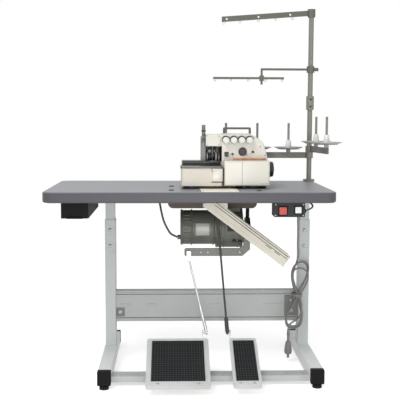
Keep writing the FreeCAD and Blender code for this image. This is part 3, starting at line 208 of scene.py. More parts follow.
# partly a plate at the chute's mouth and partly a painted reflection: brighter than the head's cream,
# standing for the head's front reflected in the glossy table
PLATE_CREAM_AND_REFLECTION = finish("mouth_plate_and_reflection", srgb(246, 240, 224), 0.35, cloud=(12, 0.03), grain=(300, 0.02),
                     accent=srgb(232, 224, 204))
CHUTE_CREAM = finish("chute_enamel", srgb(204, 200, 186), 0.4, cloud=(9, 0.07), grain=(300, 0.02),
                     relief=(260, 0.05), accent=srgb(186, 180, 163))
SWITCH_PLASTIC = finish("switch_plastic", srgb(40, 44, 45), 0.5, grain=(500, 0.07), relief=(900, 0.06),
                        shine=0.2)
RED_PLASTIC = finish("red_button", srgb(176, 58, 46), 0.38, grain=(300, 0.04), coat=0.2)
WHITE_PLASTIC = finish("white_plastic", srgb(214, 214, 210), 0.34, grain=(300, 0.02), coat=0.2)
GREY_VINYL = finish("grey_vinyl", srgb(120, 120, 118), 0.5, cloud=(25, 0.05), grain=(400, 0.05))
CABLE_VINYL = finish("dark_vinyl", srgb(70, 70, 68), 0.5, cloud=(25, 0.05), grain=(400, 0.05))
SIGHT_GLASS = finish("sight_glass", srgb(70, 56, 60), 0.3, grain=(60, 0.1), coat=0.1, shine=0.2)
HANDLE_PLASTIC = finish("handle_plastic", srgb(84, 82, 82), 0.5, grain=(500, 0.06))
WHEEL_PLASTIC = finish("wheel_plastic", srgb(38, 36, 36), 0.4, grain=(500, 0.08), coat=0.2)
ARM_ENAMEL = finish("arm_enamel", srgb(98, 98, 90), 0.45, 0.25, cloud=(18, 0.07), grain=(400, 0.04))
POST_STEEL = finish("post_steel", srgb(112, 112, 110), 0.42, 0.5, cloud=(30, 0.08), grain=(500, 0.06))
STAND_ENAMEL = finish("stand_enamel", srgb(126, 125, 116), 0.42, 0.25, cloud=(18, 0.07), grain=(400, 0.04))
SPOOL_PLASTIC = finish("spool_plastic", srgb(172, 170, 166), 0.48, cloud=(14, 0.05), grain=(300, 0.03))
CONE_PLASTIC = finish("cone_plastic", srgb(226, 227, 225), 0.45, cloud=(20, 0.04), grain=(300, 0.02))
OIL_RED = finish("oil_red_strip", srgb(176, 92, 62), 0.35, cloud=(30, 0.1), grain=(300, 0.06),
                 coat=0.3, accent=srgb(205, 150, 110))
# a dark colour for the seams between covers, which are dark joints, and for strips and patches of painted
# shade in slots, folds and under lips and guards
DARK_GAP_AND_SHADE = finish("dark_gap_and_painted_shade", srgb(58, 54, 50), 0.8, grain=(200, 0.1))
PALE_PLATE = finish("pale_plate", srgb(158, 158, 153), 0.4, 0.2, cloud=(30, 0.05), grain=(300, 0.03))

NODE_FINISHES = {
    LAMINATE_LIT_TOP_SHADED_EDGE: ["table_top"],
    LEG_ENAMEL: ["left_column", "right_column", "inner_columns"],
    LIT_FOOT_ENAMEL: ["foot_tubes"],
    RAIL_ENAMEL: ["rear_rail", "foot_rail", "treadle_brackets"],
    CAP_PLASTIC: ["foot_caps", "drawer", "drawer_hanger"],
    RUBBER: ["levelling_feet", "head_cushions", "drive_belt"],
    TREADLE_ENAMEL: ["large_treadle", "small_treadle"],
    ZINC: ["pitman_rod"],
    DARK_STEEL: ["lifter_rod"],
    BRUSHED: ["cloth_plate", "needle_bar", "presser_foot", "main_shaft", "motor_pulley"],
    MOTOR_PAINT: ["motor_housing", "clutch_housing"],
    LEVER_PAINT: ["clutch_lever"],
    PLYWOOD: ["motor_board"],
    CREAM: ["head_casing", "front_cover", "face_plate"],
    SHADOW_SIDE_CREAM: ["side_cover"],
    CHUTE_CREAM: ["waste_chute"],
    SWITCH_PLASTIC: ["switch_box"],
    RED_PLASTIC: ["stop_button"],
    WHITE_PLASTIC: ["start_button", "tension_knob_1", "tension_knob_2", "tension_knob_3", "tension_knob_4"],
    GREY_VINYL: ["power_plug", "power_cord", "cord_hank"],
    CABLE_VINYL: ["motor_cable"],
    SIGHT_GLASS: ["oil_window"],
    HANDLE_PLASTIC: ["carry_handle"],
    WHEEL_PLASTIC: ["handwheel"],
    STAND_ENAMEL: ["mast_lower", "mast_upper", "mast_coupler",
                   "spool_arm_left", "spool_arm_front", "spool_pins"],
    ARM_ENAMEL: ["top_arm", "guide_arm", "guide_bar"],
    POST_STEEL: ["presser_regulator"],
    SPOOL_PLASTIC: ["spool_discs"],
    CONE_PLASTIC: ["spool_cones"],
    MAT_RUBBER: ["large_treadle_mat", "small_treadle_mat"],
}
for surface, names in NODE_FINISHES.items():
    for node_name in names:
        node_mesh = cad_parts[node_name].data
        node_mesh.materials.clear()
        node_mesh.materials.append(surface)


# Surfaces

def patch(grid, wrap_u=False, wrap_v=False):
    """Points and quads of a grid with rows u and columns v, joined round where it wraps."""
    rows, columns = grid.shape[:2]
    row = np.arange(rows if wrap_u else rows - 1)
    column = np.arange(columns if wrap_v else columns - 1)
    u, v = np.meshgrid(row, column, indexing="ij")
    below = (u + 1) % rows
    right = (v + 1) % columns
    quads = np.stack([u * columns + v, u * columns + right, below * columns + right, below * columns + v],
                     -1)
    return grid.reshape(-1, 3), quads.reshape(-1, 4)


def pillow(low, high, radius, across=16):
    """A box with rounded edges: a sphere's normal n gives the point core * sign(n) + radius * n.
    A face whose last two corners are the same is a triangle."""
    low = np.asarray(low, dtype=float)
    high = np.asarray(high, dtype=float)
    reach = min(radius, (high - low).min() / 2 - 1e-3)
    core = (high - low) / 2 - reach
    half = across // 4
    quarter = np.linspace(0, np.pi / 2, half)
    round_angle = np.concatenate([quarter + k * np.pi / 2 for k in range(4)])
    rise = np.concatenate([-np.flip(quarter), quarter])
    side = np.concatenate([-np.ones(half), np.ones(half)])
    east = np.repeat([1, -1, -1, 1], half)
    north = np.repeat([1, 1, -1, -1], half)
    phi, theta = np.meshgrid(rise, round_angle, indexing="ij")
    x = east * core[0] + reach * np.cos(phi) * np.cos(theta)
    y = north * core[1] + reach * np.cos(phi) * np.sin(theta)
    z = side[:, None] * core[2] + reach * np.sin(phi)
    points, quads = patch(np.stack([x, y, z], -1) + (low + high) / 2, wrap_v=True)
    last = len(points)
    wide = len(round_angle)
    floor = points[:wide].mean(axis=0)
    roof = points[-wide:].mean(axis=0)
    index = np.arange(wide)
    after = (index + 1) % wide
    top_index = last - wide + index
    top_after = last - wide + after
    caps = [np.stack([np.full(wide, last), after, index, index], -1),
            np.stack([np.full(wide, last + 1), top_index, top_after, top_after], -1)]
    return np.concatenate([points, [floor, roof]]), np.concatenate([quads, *caps])


def turned(profile, centre, axis, steps=28):
    """A shape of revolution: the profile's radius and height, carried round an axis through a centre."""
    profile = np.asarray(profile, dtype=float)
    axis = np.asarray(axis, dtype=float) / np.linalg.norm(axis)
    helper = np.array([0.0, 0, 1]) if abs(axis[2]) < 0.9 else np.array([1.0, 0, 0])
    side = np.cross(helper, axis)
    side /= np.linalg.norm(side)
    front = np.cross(axis, side)
    angle = np.arange(steps) * 2 * np.pi / steps
    spoke = np.cos(angle)[:, None] * side + np.sin(angle)[:, None] * front
    grid = profile[:, 0, None, None] * spoke[None] + profile[:, 1, None, None] * axis + np.asarray(centre)
    return patch(grid, wrap_v=True)


def swept(path, radius, steps=10):
    """A round bar: a circle carried along a path of points, square to it, in a frame that doesn't twist."""
    path = np.asarray(path, dtype=float)
    along = np.gradient(path, axis=0)
    along /= np.linalg.norm(along, axis=1)[:, None]
    helper = np.eye(3)[np.argmin(np.abs(along).max(axis=0))]
    side = np.cross(along, helper)
    side /= np.linalg.norm(side, axis=1)[:, None]
    front = np.cross(side, along)
    angle = np.arange(steps) * 2 * np.pi / steps
    ring = np.cos(angle)[None, :, None] * side[:, None] + np.sin(angle)[None, :, None] * front[:, None]
    grid = path[:, None] + radius * ring
    ends = [np.repeat(path[None, :1], steps, 1), np.repeat(path[None, -1:], steps, 1)]
    return patch(np.concatenate([ends[0], grid, ends[1]]), wrap_v=True)


def piece(name, surfaces, material, body, smooth=True):
    """One object from several surfaces, with a finish, riding a body."""
    points = []
    quads = []
    count = 0
    for corners, faces in surfaces:
        points.append(corners)
        quads.append(faces + count)
        count += len(corners)
    everything = place(np.concatenate(points))
    faces = np.concatenate(quads)
    triangle = faces[:, 2] == faces[:, 3]
    mesh = bpy.data.meshes.new(name)
    mesh.from_pydata(everything.tolist(), [], faces[~triangle].tolist() + faces[triangle, :3].tolist())
    mesh.polygons.foreach_set("use_smooth", np.full(len(mesh.polygons), smooth))
    mesh.materials.append(material)
    merge_and_turn_out(mesh)
    obj = bpy.data.objects.new(name, mesh)
    bpy.context.scene.collection.objects.link(obj)
    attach(obj, body)
    return obj


# points closer than this, in metres, are one, and shorter edges have no length
SAME_POINT, NO_LENGTH = 1e-6, 1e-7


def merge_and_turn_out(mesh):
    """Merge doubled points, drop faces with no area and turn all faces outwards."""
    work = bmesh.new()
    work.from_mesh(mesh)
    bmesh.ops.remove_doubles(work, verts=work.verts, dist=SAME_POINT)
    bmesh.ops.dissolve_degenerate(work, edges=work.edges, dist=NO_LENGTH)
    bmesh.ops.recalc_face_normals(work, faces=work.faces)
    work.to_mesh(mesh)
    work.free()


def screw(centre, axis, radius, height=2.5):
    """A domed screw head with a sunk centre, turned about its axis."""
    profile = [(0, height * 0.55), (radius * 0.28, height * 0.55), (radius * 0.34, height),
               (radius * 0.7, height * 0.9), (radius, height * 0.35), (radius, -0.6), (0, -0.6)]
    return turned(profile, centre, axis, 18)


def bolt(centre, axis, radius):
    """A hexagon bolt head on a washer."""
    washer = turned([(0, 1.6), (radius * 1.7, 1.6), (radius * 1.8, 1.0), (radius * 1.8, -0.5), (0, -0.5)],
                    centre, axis, 24)
    head = turned([(0, 6.2), (radius * 0.75, 6.2), (radius * 1.1, 5.2), (radius * 1.1, 1.2), (0, 1.2)],
                  centre, axis, 6)
    return [washer, head]


# Treadles

TREADLE_PIVOT = np.array([0, -127.0, 84])
TREADLE_TILT = math.radians(24.6)
MAT_BACK, MAT_FRONT = 88.0, -133.0
MAT_FLOOR = 26.0
MAT_THICK = 3.0
MAT_RIM = 5
# distance between the points of a mat's surface
MAT_STEP = 1.75
RIB_PITCH = 10.0
STUD_STEEPNESS = 1.3
# the sheet lies below the mat's top, and its rim and studs rise from there
SHEET_SINK, RIM_RISE, STUD_RISE = 0.4, 1.0, 1.2
# a groove's colour starts where the cosine passes a value, and covers no more than a share
GROOVE_STEEPNESS, GROOVE_START, GROOVE_SHARE = 2.2, 1.4, 0.55
# middle and width of each mat, and how far its screws are from the middle
TREADLES = ((-43, 200, 75, "large_treadle"), (212, 82, 26, "small_treadle"))
RIM_SCREWS_AT = -146


def on_treadle(points):
    """Points given along a treadle's own slope, turned to its rest tilt about the hinge."""
    points = np.asarray(points, dtype=float)
    cos, sin = math.cos(TREADLE_TILT), math.sin(TREADLE_TILT)
    y = points[..., 1] * cos - points[..., 2] * sin
    z = points[..., 1] * sin + points[..., 2] * cos
    return np.stack([points[..., 0], y, z], -1) + TREADLE_PIVOT


def ribbed_mat(name, middle, width, body):
    """A studded mat: a flat sheet with grooves where either of two cosines is high, and a dropped rim."""
    x = np.linspace(-width / 2, width / 2, int(width / MAT_STEP))
    y = np.linspace(MAT_FRONT, MAT_BACK, int((MAT_BACK - MAT_FRONT) / MAT_STEP))
    u, v = np.meshgrid(x, y, indexing="ij")
    lines = np.maximum(np.cos(2 * np.pi * u / RIB_PITCH), np.cos(2 * np.pi * v / RIB_PITCH))
    stud = np.clip(STUD_STEEPNESS - STUD_STEEPNESS * lines, 0, 1)
    rim = np.minimum(np.minimum(width / 2 - np.abs(u), v - MAT_FRONT), MAT_BACK - v) < MAT_RIM
    top = MAT_FLOOR + MAT_THICK - SHEET_SINK + np.where(rim, RIM_RISE, STUD_RISE * stud)
    sheet = np.stack([u + middle, v, top], -1)
    sheet = np.pad(sheet, ((1, 1), (1, 1), (0, 0)), mode="edge")
    edge = np.ones(sheet.shape[:2], dtype=bool)
    edge[1:-1, 1:-1] = False
    sheet[edge, 2] = MAT_FLOOR
    points, quads = patch(sheet)
    under = sheet[[0, -1]][:, [0, -1]].copy()
    base = patch(np.flip(under, axis=1))
    mat = piece(name, [(on_treadle(points), quads), (on_treadle(base[0]), base[1])], MAT_RUBBER, body,
                smooth=False)
    mark_grooves(mat.data)
    return mat


def mark_grooves(mesh):
    """A share for every point: the square grid of grooves, from the place along and across the slope."""
    spots = np.empty(len(mesh.vertices) * 3)
    mesh.vertices.foreach_get("co", spots)
    spots = (spots.reshape(-1, 3) - CENTRE) / MM - TREADLE_PIVOT
    along = spots[:, 1] * math.cos(TREADLE_TILT) + spots[:, 2] * math.sin(TREADLE_TILT)
    lines = np.maximum(np.cos(2 * np.pi * spots[:, 0] / RIB_PITCH), np.cos(2 * np.pi * along / RIB_PITCH))
    groove = mesh.attributes.new("groove", "FLOAT", "POINT")
    share = np.clip(GROOVE_STEEPNESS * lines - GROOVE_START, 0, 1) * GROOVE_SHARE
    groove.data.foreach_set("value", share)


def make_treadle_details():
    """Studded mats, and two screws on each treadle's front rim."""
    for middle, width, rim, body in TREADLES:
        mat = ribbed_mat(body + "_studs", middle, width, body)
        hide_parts(body + "_mat")
        up = on_treadle([0, 0, 1]) - TREADLE_PIVOT
        heads = [screw(on_treadle([middle + side * rim, RIM_SCREWS_AT, MAT_FLOOR]), up, 5.5, 2.2)
                 for side in (-1, 1)]
        piece(body + "_screws", heads, ZINC, body)


# Stand

TABLE_TOP = 748
COLUMN_FRONT = 155.0
RAIL_FRONT = 165.0
RAIL_LEFT, RAIL_RIGHT = -296, 459
STUD_PLACES = ((-68, -20), (-68, -196), (252, -212))
COLUMN_BOLTS = ((-319.5, (553, 487)), (482.7, (552, 486)))
SHORT_BEADS = (-262, -150, 110, 330, 372)
RAIL_BOLTS = ((432, 255), (432, 211), (-280, 208))


def make_stand_details():
    """Low studs on the table, column bolts, the rear rail's pressed beads, dark strips painted as the shadow
    under its folded lips, and its end plates, the right one a painted shadow of the cables beside the
    column.
    """
    stud = [(0, 3.6), (7, 3.4), (9.5, 2), (10, -0.5), (0, -0.5)]
    studs = [turned(stud, (x, y, TABLE_TOP), (0, 0, 1), 24) for x, y in STUD_PLACES]
    piece("table_studs", studs, WHEEL_PLASTIC, "stand")
    bolts = []
    for x, heights in COLUMN_BOLTS:
        for z in heights:
            bolts += bolt((x, COLUMN_FRONT, z), (0, -1, 0), 4.6)
    piece("column_bolts", bolts, ZINC, "stand")
    beads = [pillow((RAIL_LEFT, RAIL_FRONT - 2.2, z - 3), (RAIL_RIGHT, RAIL_FRONT + 1, z + 3), 2.4)
             for z in (288, 178)]
    beads += [pillow((x - 22, RAIL_FRONT - 2, 236), (x + 22, RAIL_FRONT + 1, 243), 2.6) for x in SHORT_BEADS]
    piece("rail_beads", beads, RAIL_ENAMEL, "stand")
    # painted shade: dark strips for the shadow under the rail's folded lips
    folds = [pillow((RAIL_LEFT - 1, RAIL_FRONT - 0.8, z), (RAIL_RIGHT + 1, RAIL_FRONT + 0.5, z + 2), 0.4)
             for z in (281, 183)]
    piece("rail_lip_shadows", folds, DARK_GAP_AND_SHADE, "stand")
    # the right plate is a painted shadow cast by the cables beside the right column; the left one is an end
    # plate
    plates = [pillow((404, RAIL_FRONT - 4, 190), (RAIL_RIGHT, RAIL_FRONT + 0.5, 276), 2),
              pillow((RAIL_LEFT, RAIL_FRONT - 4, 190), (-262, RAIL_FRONT + 0.5, 226), 2)]
    piece("rail_end_plates_and_shadow", plates, LEVER_PAINT, "stand")
    rail_bolts = []
    for x, z in RAIL_BOLTS:
        rail_bolts += bolt((x, RAIL_FRONT - 4, z), (0, -1, 0), 4.5)
    piece("rail_bolts", rail_bolts, ZINC, "stand")


# Drive

MOTOR_Y, MOTOR_Z = 62.0, 578.0
MOTOR_RADIUS, CLUTCH_RADIUS = 68.0, 80.0
PLATE_THICK = 0.9
CLUTCH_RIBS = (113, 126, 139, 196, 207)
MOTOR_FLANGES = (-27, 12, 98)
FIN_ANGLES = np.radians(np.arange(-50, 51, 12.5))
SETTING_KNOBS = ((178, 530), (200, 527))
LEVER_PINS = (48, 75, 200)


def motor_patch(x, angle, radius):
    """A point on the motor's barrel: along x, and round it by an angle from straight ahead, upwards."""
    return np.stack([x, MOTOR_Y - radius * np.cos(angle), MOTOR_Z + radius * np.sin(angle)], -1)


def barrel_plate(x_low, x_high, low, high, radius, thick=PLATE_THICK):
    """A plate bent round the barrel: a patch over x and angle whose rim drops to the barrel."""
    x, angle = np.meshgrid(np.linspace(x_low, x_high, 12), np.radians(np.linspace(low, high, 16)),
                           indexing="ij")
    top = np.pad(motor_patch(x, angle, radius + thick), ((1, 1), (1, 1), (0, 0)), mode="edge")
    flat = np.pad(motor_patch(x, angle, radius - 0.5), ((1, 1), (1, 1), (0, 0)), mode="edge")
    edge = np.ones(top.shape[:2], dtype=bool)
    edge[1:-1, 1:-1] = False
    top[edge] = flat[edge]
    return patch(top)


def make_motor_details():
    """Bare rating plate with rivets, ribs and fins, the clutch's slot as a patch of painted shade, setting
    knobs and lever pins.
    """
    piece("rating_plate", [barrel_plate(26, 84, -22, 22, MOTOR_RADIUS)], PALE_PLATE, "stand")
    corners = [motor_patch(np.array(x), np.radians(a), MOTOR_RADIUS + PLATE_THICK)
               for x in (30.0, 80.0) for a in (-18.0, 18.0)]
    outward = [c - np.array([c[0], MOTOR_Y, MOTOR_Z]) for c in corners]
    piece("rating_plate_rivets", [screw(c, o, 2, 1) for c, o in zip(corners, outward)], ZINC, "stand")
    ring = [(CLUTCH_RADIUS - 1.0, -2.2), (CLUTCH_RADIUS + 1.6, -1.4), (CLUTCH_RADIUS + 1.6, 1.4),
            (CLUTCH_RADIUS - 1.0, 2.2), (CLUTCH_RADIUS - 1.0, -2.2)]
    ribs = [turned(ring, (x, MOTOR_Y, MOTOR_Z), (1, 0, 0), 64) for x in CLUTCH_RIBS]
    flange = [(MOTOR_RADIUS - 1, -3), (MOTOR_RADIUS + 4, -2), (MOTOR_RADIUS + 4, 2), (MOTOR_RADIUS - 1, 3),
              (MOTOR_RADIUS - 1, -3)]
    ribs += [turned(flange, (x, MOTOR_Y, MOTOR_Z), (1, 0, 0), 64) for x in MOTOR_FLANGES]
    piece("motor_ribs", ribs, MOTOR_PAINT, "stand")
    fins = []
    for angle in FIN_ANGLES:
        middle = motor_patch(np.array(-8.0), angle, MOTOR_RADIUS)
        fins.append(pillow(middle - (14, 2, 1.6), middle + (14, 2, 1.6), 1.2))
    piece("motor_fins", fins, MOTOR_PAINT, "stand")
    # painted shade: a dark patch on the clutch housing stands for the shade inside its slot
    piece("clutch_slot", [barrel_plate(150, 186, -4, 22, CLUTCH_RADIUS, 0.5)], DARK_GAP_AND_SHADE, "stand")
    piece("clutch_slot_frame", [barrel_plate(146, 190, -7, -4.4, CLUTCH_RADIUS, 1.6),
                                barrel_plate(146, 190, 22.4, 25, CLUTCH_RADIUS, 1.6)],
          MOTOR_PAINT, "stand")
    knob = [(0, 12), (5, 12), (7.5, 9), (7.5, 3), (4, 2), (4, -4), (0, -4)]
    setting = [turned(knob, (x, -4, z), (0, -1, 0.1), 20) for x, z in SETTING_KNOBS]
    piece("clutch_knobs", setting, WHEEL_PLASTIC, "stand")
    pins = [screw((x, -6, 487), (0, -1, 0), 5, 3) for x in LEVER_PINS]
    piece("lever_pins", pins, ZINC, "clutch_lever")


# Chute

TROUGH_CORNER = np.array([40.0, -135.6, 689.0])
TROUGH_SLOPE = math.radians(37)
TROUGH_LONG, TROUGH_HIGH = 393.0, 48.0


def on_trough(points):
    """Points given along the trough's slope, across it and square to it, turned down to the right."""
    cos, sin = math.cos(TROUGH_SLOPE), math.sin(TROUGH_SLOPE)
    x = points[..., 0] * cos + points[..., 2] * sin
    z = -points[..., 0] * sin + points[..., 2] * cos
    return np.stack([x, points[..., 1], z], -1) + TROUGH_CORNER


def trough_strip(low, high, radius):
    """A strip lying along the trough."""
    points, faces = pillow(low, high, radius)
    return on_trough(points), faces


def make_chute_details():
    """Folded rims along the trough, two dark slots and two long dark strips of painted shade for its fold
    and shadowed inside, and the plate at its mouth with two screws, drawn bright as a painted reflection of
    the head on the glossy table.
    """
    fold = [trough_strip((30, -1.6, TROUGH_HIGH - 4), (TROUGH_LONG - 1, 1.6, TROUGH_HIGH + 0.6), 1.5),
            trough_strip((6, -0.9, 12), (TROUGH_LONG - 5, 0.6, 14.2), 0.8),
            trough_strip((TROUGH_LONG - 7, -1.2, 3), (TROUGH_LONG - 3, 0.6, TROUGH_HIGH - 4), 1)]
    piece("chute_folds", fold, CHUTE_CREAM, "stand")
    slots = [trough_strip((start, -0.5, 26), (start + 26, 0.3, 28.5), 0.4) for start in (290, 330)]
    # painted shade: the two long dark strips stand for the trough's fold line and the shadowed inside seen
    # over its front rim
    slots += [trough_strip((44, -0.6, high), (TROUGH_LONG - 8, 0.3, high + 2.4), 0.4) for high in (31, 40)]
    piece("chute_slots_and_shade", slots, DARK_GAP_AND_SHADE, "stand")
    # the plate stands partly for the chute's mouth and partly for a painted reflection of the head on the
    # glossy table
    plate = [pillow((40, -256, TABLE_TOP - 0.4), (176, -149, TABLE_TOP + 2), 1)]
    piece("chute_mouth_plate_and_reflection", plate, PLATE_CREAM_AND_REFLECTION, "stand")
    heads = [screw((x, -244, TABLE_TOP + 2), (0, 0, 1), 3.2, 1.6) for x in (48, 168)]
    piece("chute_screws", heads, ZINC, "stand")


# Head

ARM_FRONT = -76.0
COVER_FRONT = -150.0
BED_TOP = 833
WHEEL_Y, WHEEL_Z = 25, 812
FACE_SCREWS = ((68, 944), (111, 944), (68, 911), (111, 911))
ARM_SCREWS = ((132, 938), (270, 905), (288, 872))


def make_head_details():
    """Plates, guard, seams, oil strip, window bezel, screws, lid and wheel hub of the head."""
    piece("throat_plate", [pillow((-27, -44.4, 835), (122, 12, 848.5), 1.6)], BRUSHED, "stand")
    # painted shade: dark patches stand for the shade inside the feed slots of the throat plate
    feed = [pillow((70 + 3 * k, -58, BED_TOP), (71.4 + 3 * k, -46, 834.6), 0.6) for k in range(6)]
    piece("plate_slot_shade", feed, DARK_GAP_AND_SHADE, "cloth_plate")
    lines = [pillow((-30, -100, BED_TOP), (118, -98.6, 833.5), 0.2),
             pillow((-33, -152.6, 825.8), (121, -151.6, 829), 0.4),
             pillow((-27, -45, 833.4), (121.5, -43.6, 836), 0.5),
             pillow((-26, -44.9, 846.4), (121.5, -43.4, 848.8), 0.5)]
    piece("plate_lines", lines, DARK_STEEL, "cloth_plate")
    guard = [pillow((84, -153.5, 777), (122, -149, 824), 3),
             pillow((88, -155.4, 786), (118, -152.8, 818), 1.2)]
    piece("chip_guard", guard, CREAM, "cloth_plate")
    # painted shadow: the low dark strip is the guard's shadow below it; the upright strip at its left is a
    # slit
    gap = [pillow((81, -151, 773), (122, -149.4, 776.4), 0.6),
           pillow((81.5, -151, 812), (83.6, -149.4, 825), 0.6)]
    piece("guard_shadow_and_slit", gap, DARK_GAP_AND_SHADE, "cloth_plate")
    seams = [pillow((120.6, COVER_FRONT + 0.4, 764), (128.4, COVER_FRONT + 6, 824), 1),
             pillow((194.4, COVER_FRONT - 0.4, 764), (195.6, COVER_FRONT + 0.5, 850), 0.4),
             pillow((264, COVER_FRONT - 0.3, 768), (294, COVER_FRONT + 0.5, 769), 0.4)]
    piece("cover_seams", seams, DARK_GAP_AND_SHADE, "front_cover")
    strip = [pillow((166, ARM_FRONT - 2.4, 850), (291, ARM_FRONT + 0.5, 860), 1.2)]
    piece("oil_level_strip", strip, OIL_RED, "stand")
    make_needle_works()
    make_tensions()
    ring = [(12.2, 0), (16, 0), (16, 3.4), (14.2, 5.2), (12.2, 4.4), (12.2, 0)]
    piece("window_bezel", [turned(ring, (202, ARM_FRONT, 885), (0, -1, 0), 40)], DARK_STEEL, "stand")
    heads = [screw((x, -82, z), (0, -1, 0), 2.8, 1.4) for x, z in FACE_SCREWS]
    heads += [screw((x, ARM_FRONT, z), (0, -1, 0), 3.4, 1.8) for x, z in ARM_SCREWS]
    piece("casing_screws", heads, ZINC, "stand")
    lid = [pillow((128, -60, 949.4), (236, 50, 952.5), 1.5)]
    piece("top_lid", lid, CREAM, "stand")
    hub = [(0, 4), (8, 4), (9, 3), (9, 0.5), (14, 0.5), (15, -0.5), (0, -0.5)]
    piece("wheel_hub", [turned(hub, (331, WHEEL_Y, WHEEL_Z), (1, 0, 0), 32)], BRUSHED, "handwheel")
    cap = [(0, 8), (24, 8), (28, 6.5), (29.5, 3), (29.5, -4), (0, -4)]
    piece("wheel_cap", [turned(cap, (324, WHEEL_Y, WHEEL_Z), (1, 0, 0), 48)], WHEEL_PLASTIC, "handwheel")


def make_needle_works():
    """Dark guides, bars and clamps between the arm's nose and the plate, and thread guides beside them."""
    blocks = [pillow((64, 6, 847), (124.5, 62, 906), 2), pillow((72, -4, 868), (116, 40, 906), 3),
              pillow((100, -40, 880), (116, -14, 906), 3), pillow((66, -20, 886), (76, 12, 906), 2)]
    piece("nose_block", blocks, DARK_STEEL, "stand")
    bars = [swept([(106, -30, 850), (106, -30, 865), (106, -30, 882)], 3.2),
            swept([(112, -52, 850), (114, -50, 862), (114, -40, 880), (112, -30, 890)], 1.6),
            swept([(70, -50, 849), (69, -50, 862), (70, -40, 876), (72, -24, 892)], 1.4)]
    piece("nose_bars", bars, ZINC, "stand")
    clamps = [screw((108, -40, 893), (0, -1, 0), 4, 3), screw((82, -4, 884), (0, -1, 0), 3, 2),
              screw((96, -4, 893), (0, -1, 0), 3, 2)]
    piece("nose_screws", clamps, BRUSHED, "stand")
    nut = [(0, 7), (3, 7), (3, 5), (8, 5), (8.6, 4), (8.6, 0), (7.8, -1), (0, -1)]
    piece("regulator_nut", [turned(nut, (56, -20, 960), (0, 0, 1), 24)], DARK_STEEL, "stand")
    guides = [pillow((133, -80, 866), (149, -75.5, 884), 2), pillow((160, -79, 872), (168, -75.5, 880), 1.5),
              pillow((236, -79, 880), (246, -75.5, 888), 1.5)]
    piece("thread_blocks", guides, DARK_STEEL, "stand")
    threads = [swept([(141, -80, 876), (150, -84, 870), (158, -83, 872), (164, -79, 876)], 1.0, 8),
               swept([(241, -79, 884), (232, -83, 876), (222, -82, 872), (214, -78, 874)], 1.0, 8)]
    piece("thread_wires", threads, ZINC, "stand")
    eyelet = [pillow((48, -43.6, 905), (60, -41.6, 935), 1)]
    piece("side_thread_plate", eyelet, BRUSHED, "stand")


KNOB_PLACES = (138, 168, 198, 228)
KNOB_Z = 928
GRIP_RADIUS, GRIP_RIBS = 12, 20


def make_tensions():
    """Two dished discs behind each tension knob, set above its axis so that their dark rims show over it as
    painted shade, a bent wire guide beside it, and ribs round its grip.
    """
    disc = [(0, -1.2), (13.6, -0.4), (14.6, 0.6), (13.8, 0.9), (6, 0.2), (0, 0.2)]
    discs = []
    guides = []
    for x in KNOB_PLACES:
        # real discs, set 2.5 mm above the knob's middle so that a dark crescent of painted shade shows over
        # each knob
        discs += [turned(disc, (x, y, 930.5), (0, facing, 0), 32) for y, facing in ((-78, 1), (-80, -1))]
        bend = np.linspace(0, np.pi, 9)
        loop = np.stack([x + 15 + 0 * bend, ARM_FRONT - 9 * np.sin(bend), 940 + 4 * np.cos(bend)], -1)
        guides.append(swept(loop, 0.9, 8))
    piece("tension_discs", discs, DARK_STEEL, "stand")
    piece("tension_guides", guides, ZINC, "stand")
    for number, x in enumerate(KNOB_PLACES, 1):
        turn = np.arange(GRIP_RIBS) * 2 * np.pi / GRIP_RIBS
        spots = np.stack([x + GRIP_RADIUS * np.cos(turn), KNOB_Z + GRIP_RADIUS * np.sin(turn)], -1)
        ribs = [pillow((across - 1, -99, up - 1), (across + 1, -84, up + 1), 0.8, 8) for across, up in spots]
        name = "tension_knob_" + str(number)
        piece(name + "_grip", ribs, WHITE_PLASTIC, name)


# Thread stand

SPOOLS = ((421.5, 236, 870.5), (290.5, 236, 870.5), (159.5, 236, 870.5), (521.75, 148.86, 897),
          (539.98, 19.13, 897))
PIN_HEIGHT = 118
BAR_EYES = (112, 178, 250, 322, 390)
TOP_EYES = (148, 214, 290, 360, 430)
# the top arm falls from its root to its tip, and its eyes hang below it
ARM_ROOT, ARM_ROOT_Z = 497.5, 1442
ARM_FALL = 27 / 358.5
EYE_DROP = 16


def eye(centre, axis, radius, wire):
    """A wire eye: a small circle carried round a larger one."""
    angle = np.linspace(0, 2 * np.pi, 15)
    profile = np.stack([radius + wire * np.cos(angle), wire * np.sin(angle)], -1)
    return turned(profile, centre, axis, 20)


def make_thread_stand_details():
    """Eyes on the guide bar and top arm, coupler screws, pads on the discs and tips on the pins."""
    bar_eyes = [eye((x, 226, 1167), (0, 1, 0), 4.2, 1.1) for x in BAR_EYES]
    piece("guide_bar_eyes", bar_eyes, ZINC, "guide_arm")
    top_eyes = [eye((x, 234, ARM_ROOT_Z - ARM_FALL * (ARM_ROOT - x) - EYE_DROP), (0, 1, 0), 4.6, 1.2)
                for x in TOP_EYES]
    piece("top_arm_eyes", top_eyes, ZINC, "top_arm")
    heads = [screw((509.5, 220, z), (0, -1, 0), 4.2, 3) for z in (1060, 1090)]
    piece("coupler_screws", heads, DARK_STEEL, "stand")
    pad = [(16, 13.0), (44, 13.0), (45, 13.6), (44, 14.2), (16, 14.2), (16, 13.0)]
    pads = [turned(pad, spool, (0, 0, 1), 40) for spool in SPOOLS]
    piece("spool_pads", pads, RUBBER, "stand")
    tip = [(0, 3.4), (2.6, 2.8), (4.4, 0.8), (4.9, -3), (4.9, -6), (0, -6)]
    tips = [turned(tip, (x, y, base + PIN_HEIGHT), (0, 0, 1), 20) for x, y, base in SPOOLS]
    piece("pin_tips", tips, STAND_ENAMEL, "stand")


# Switch and cord

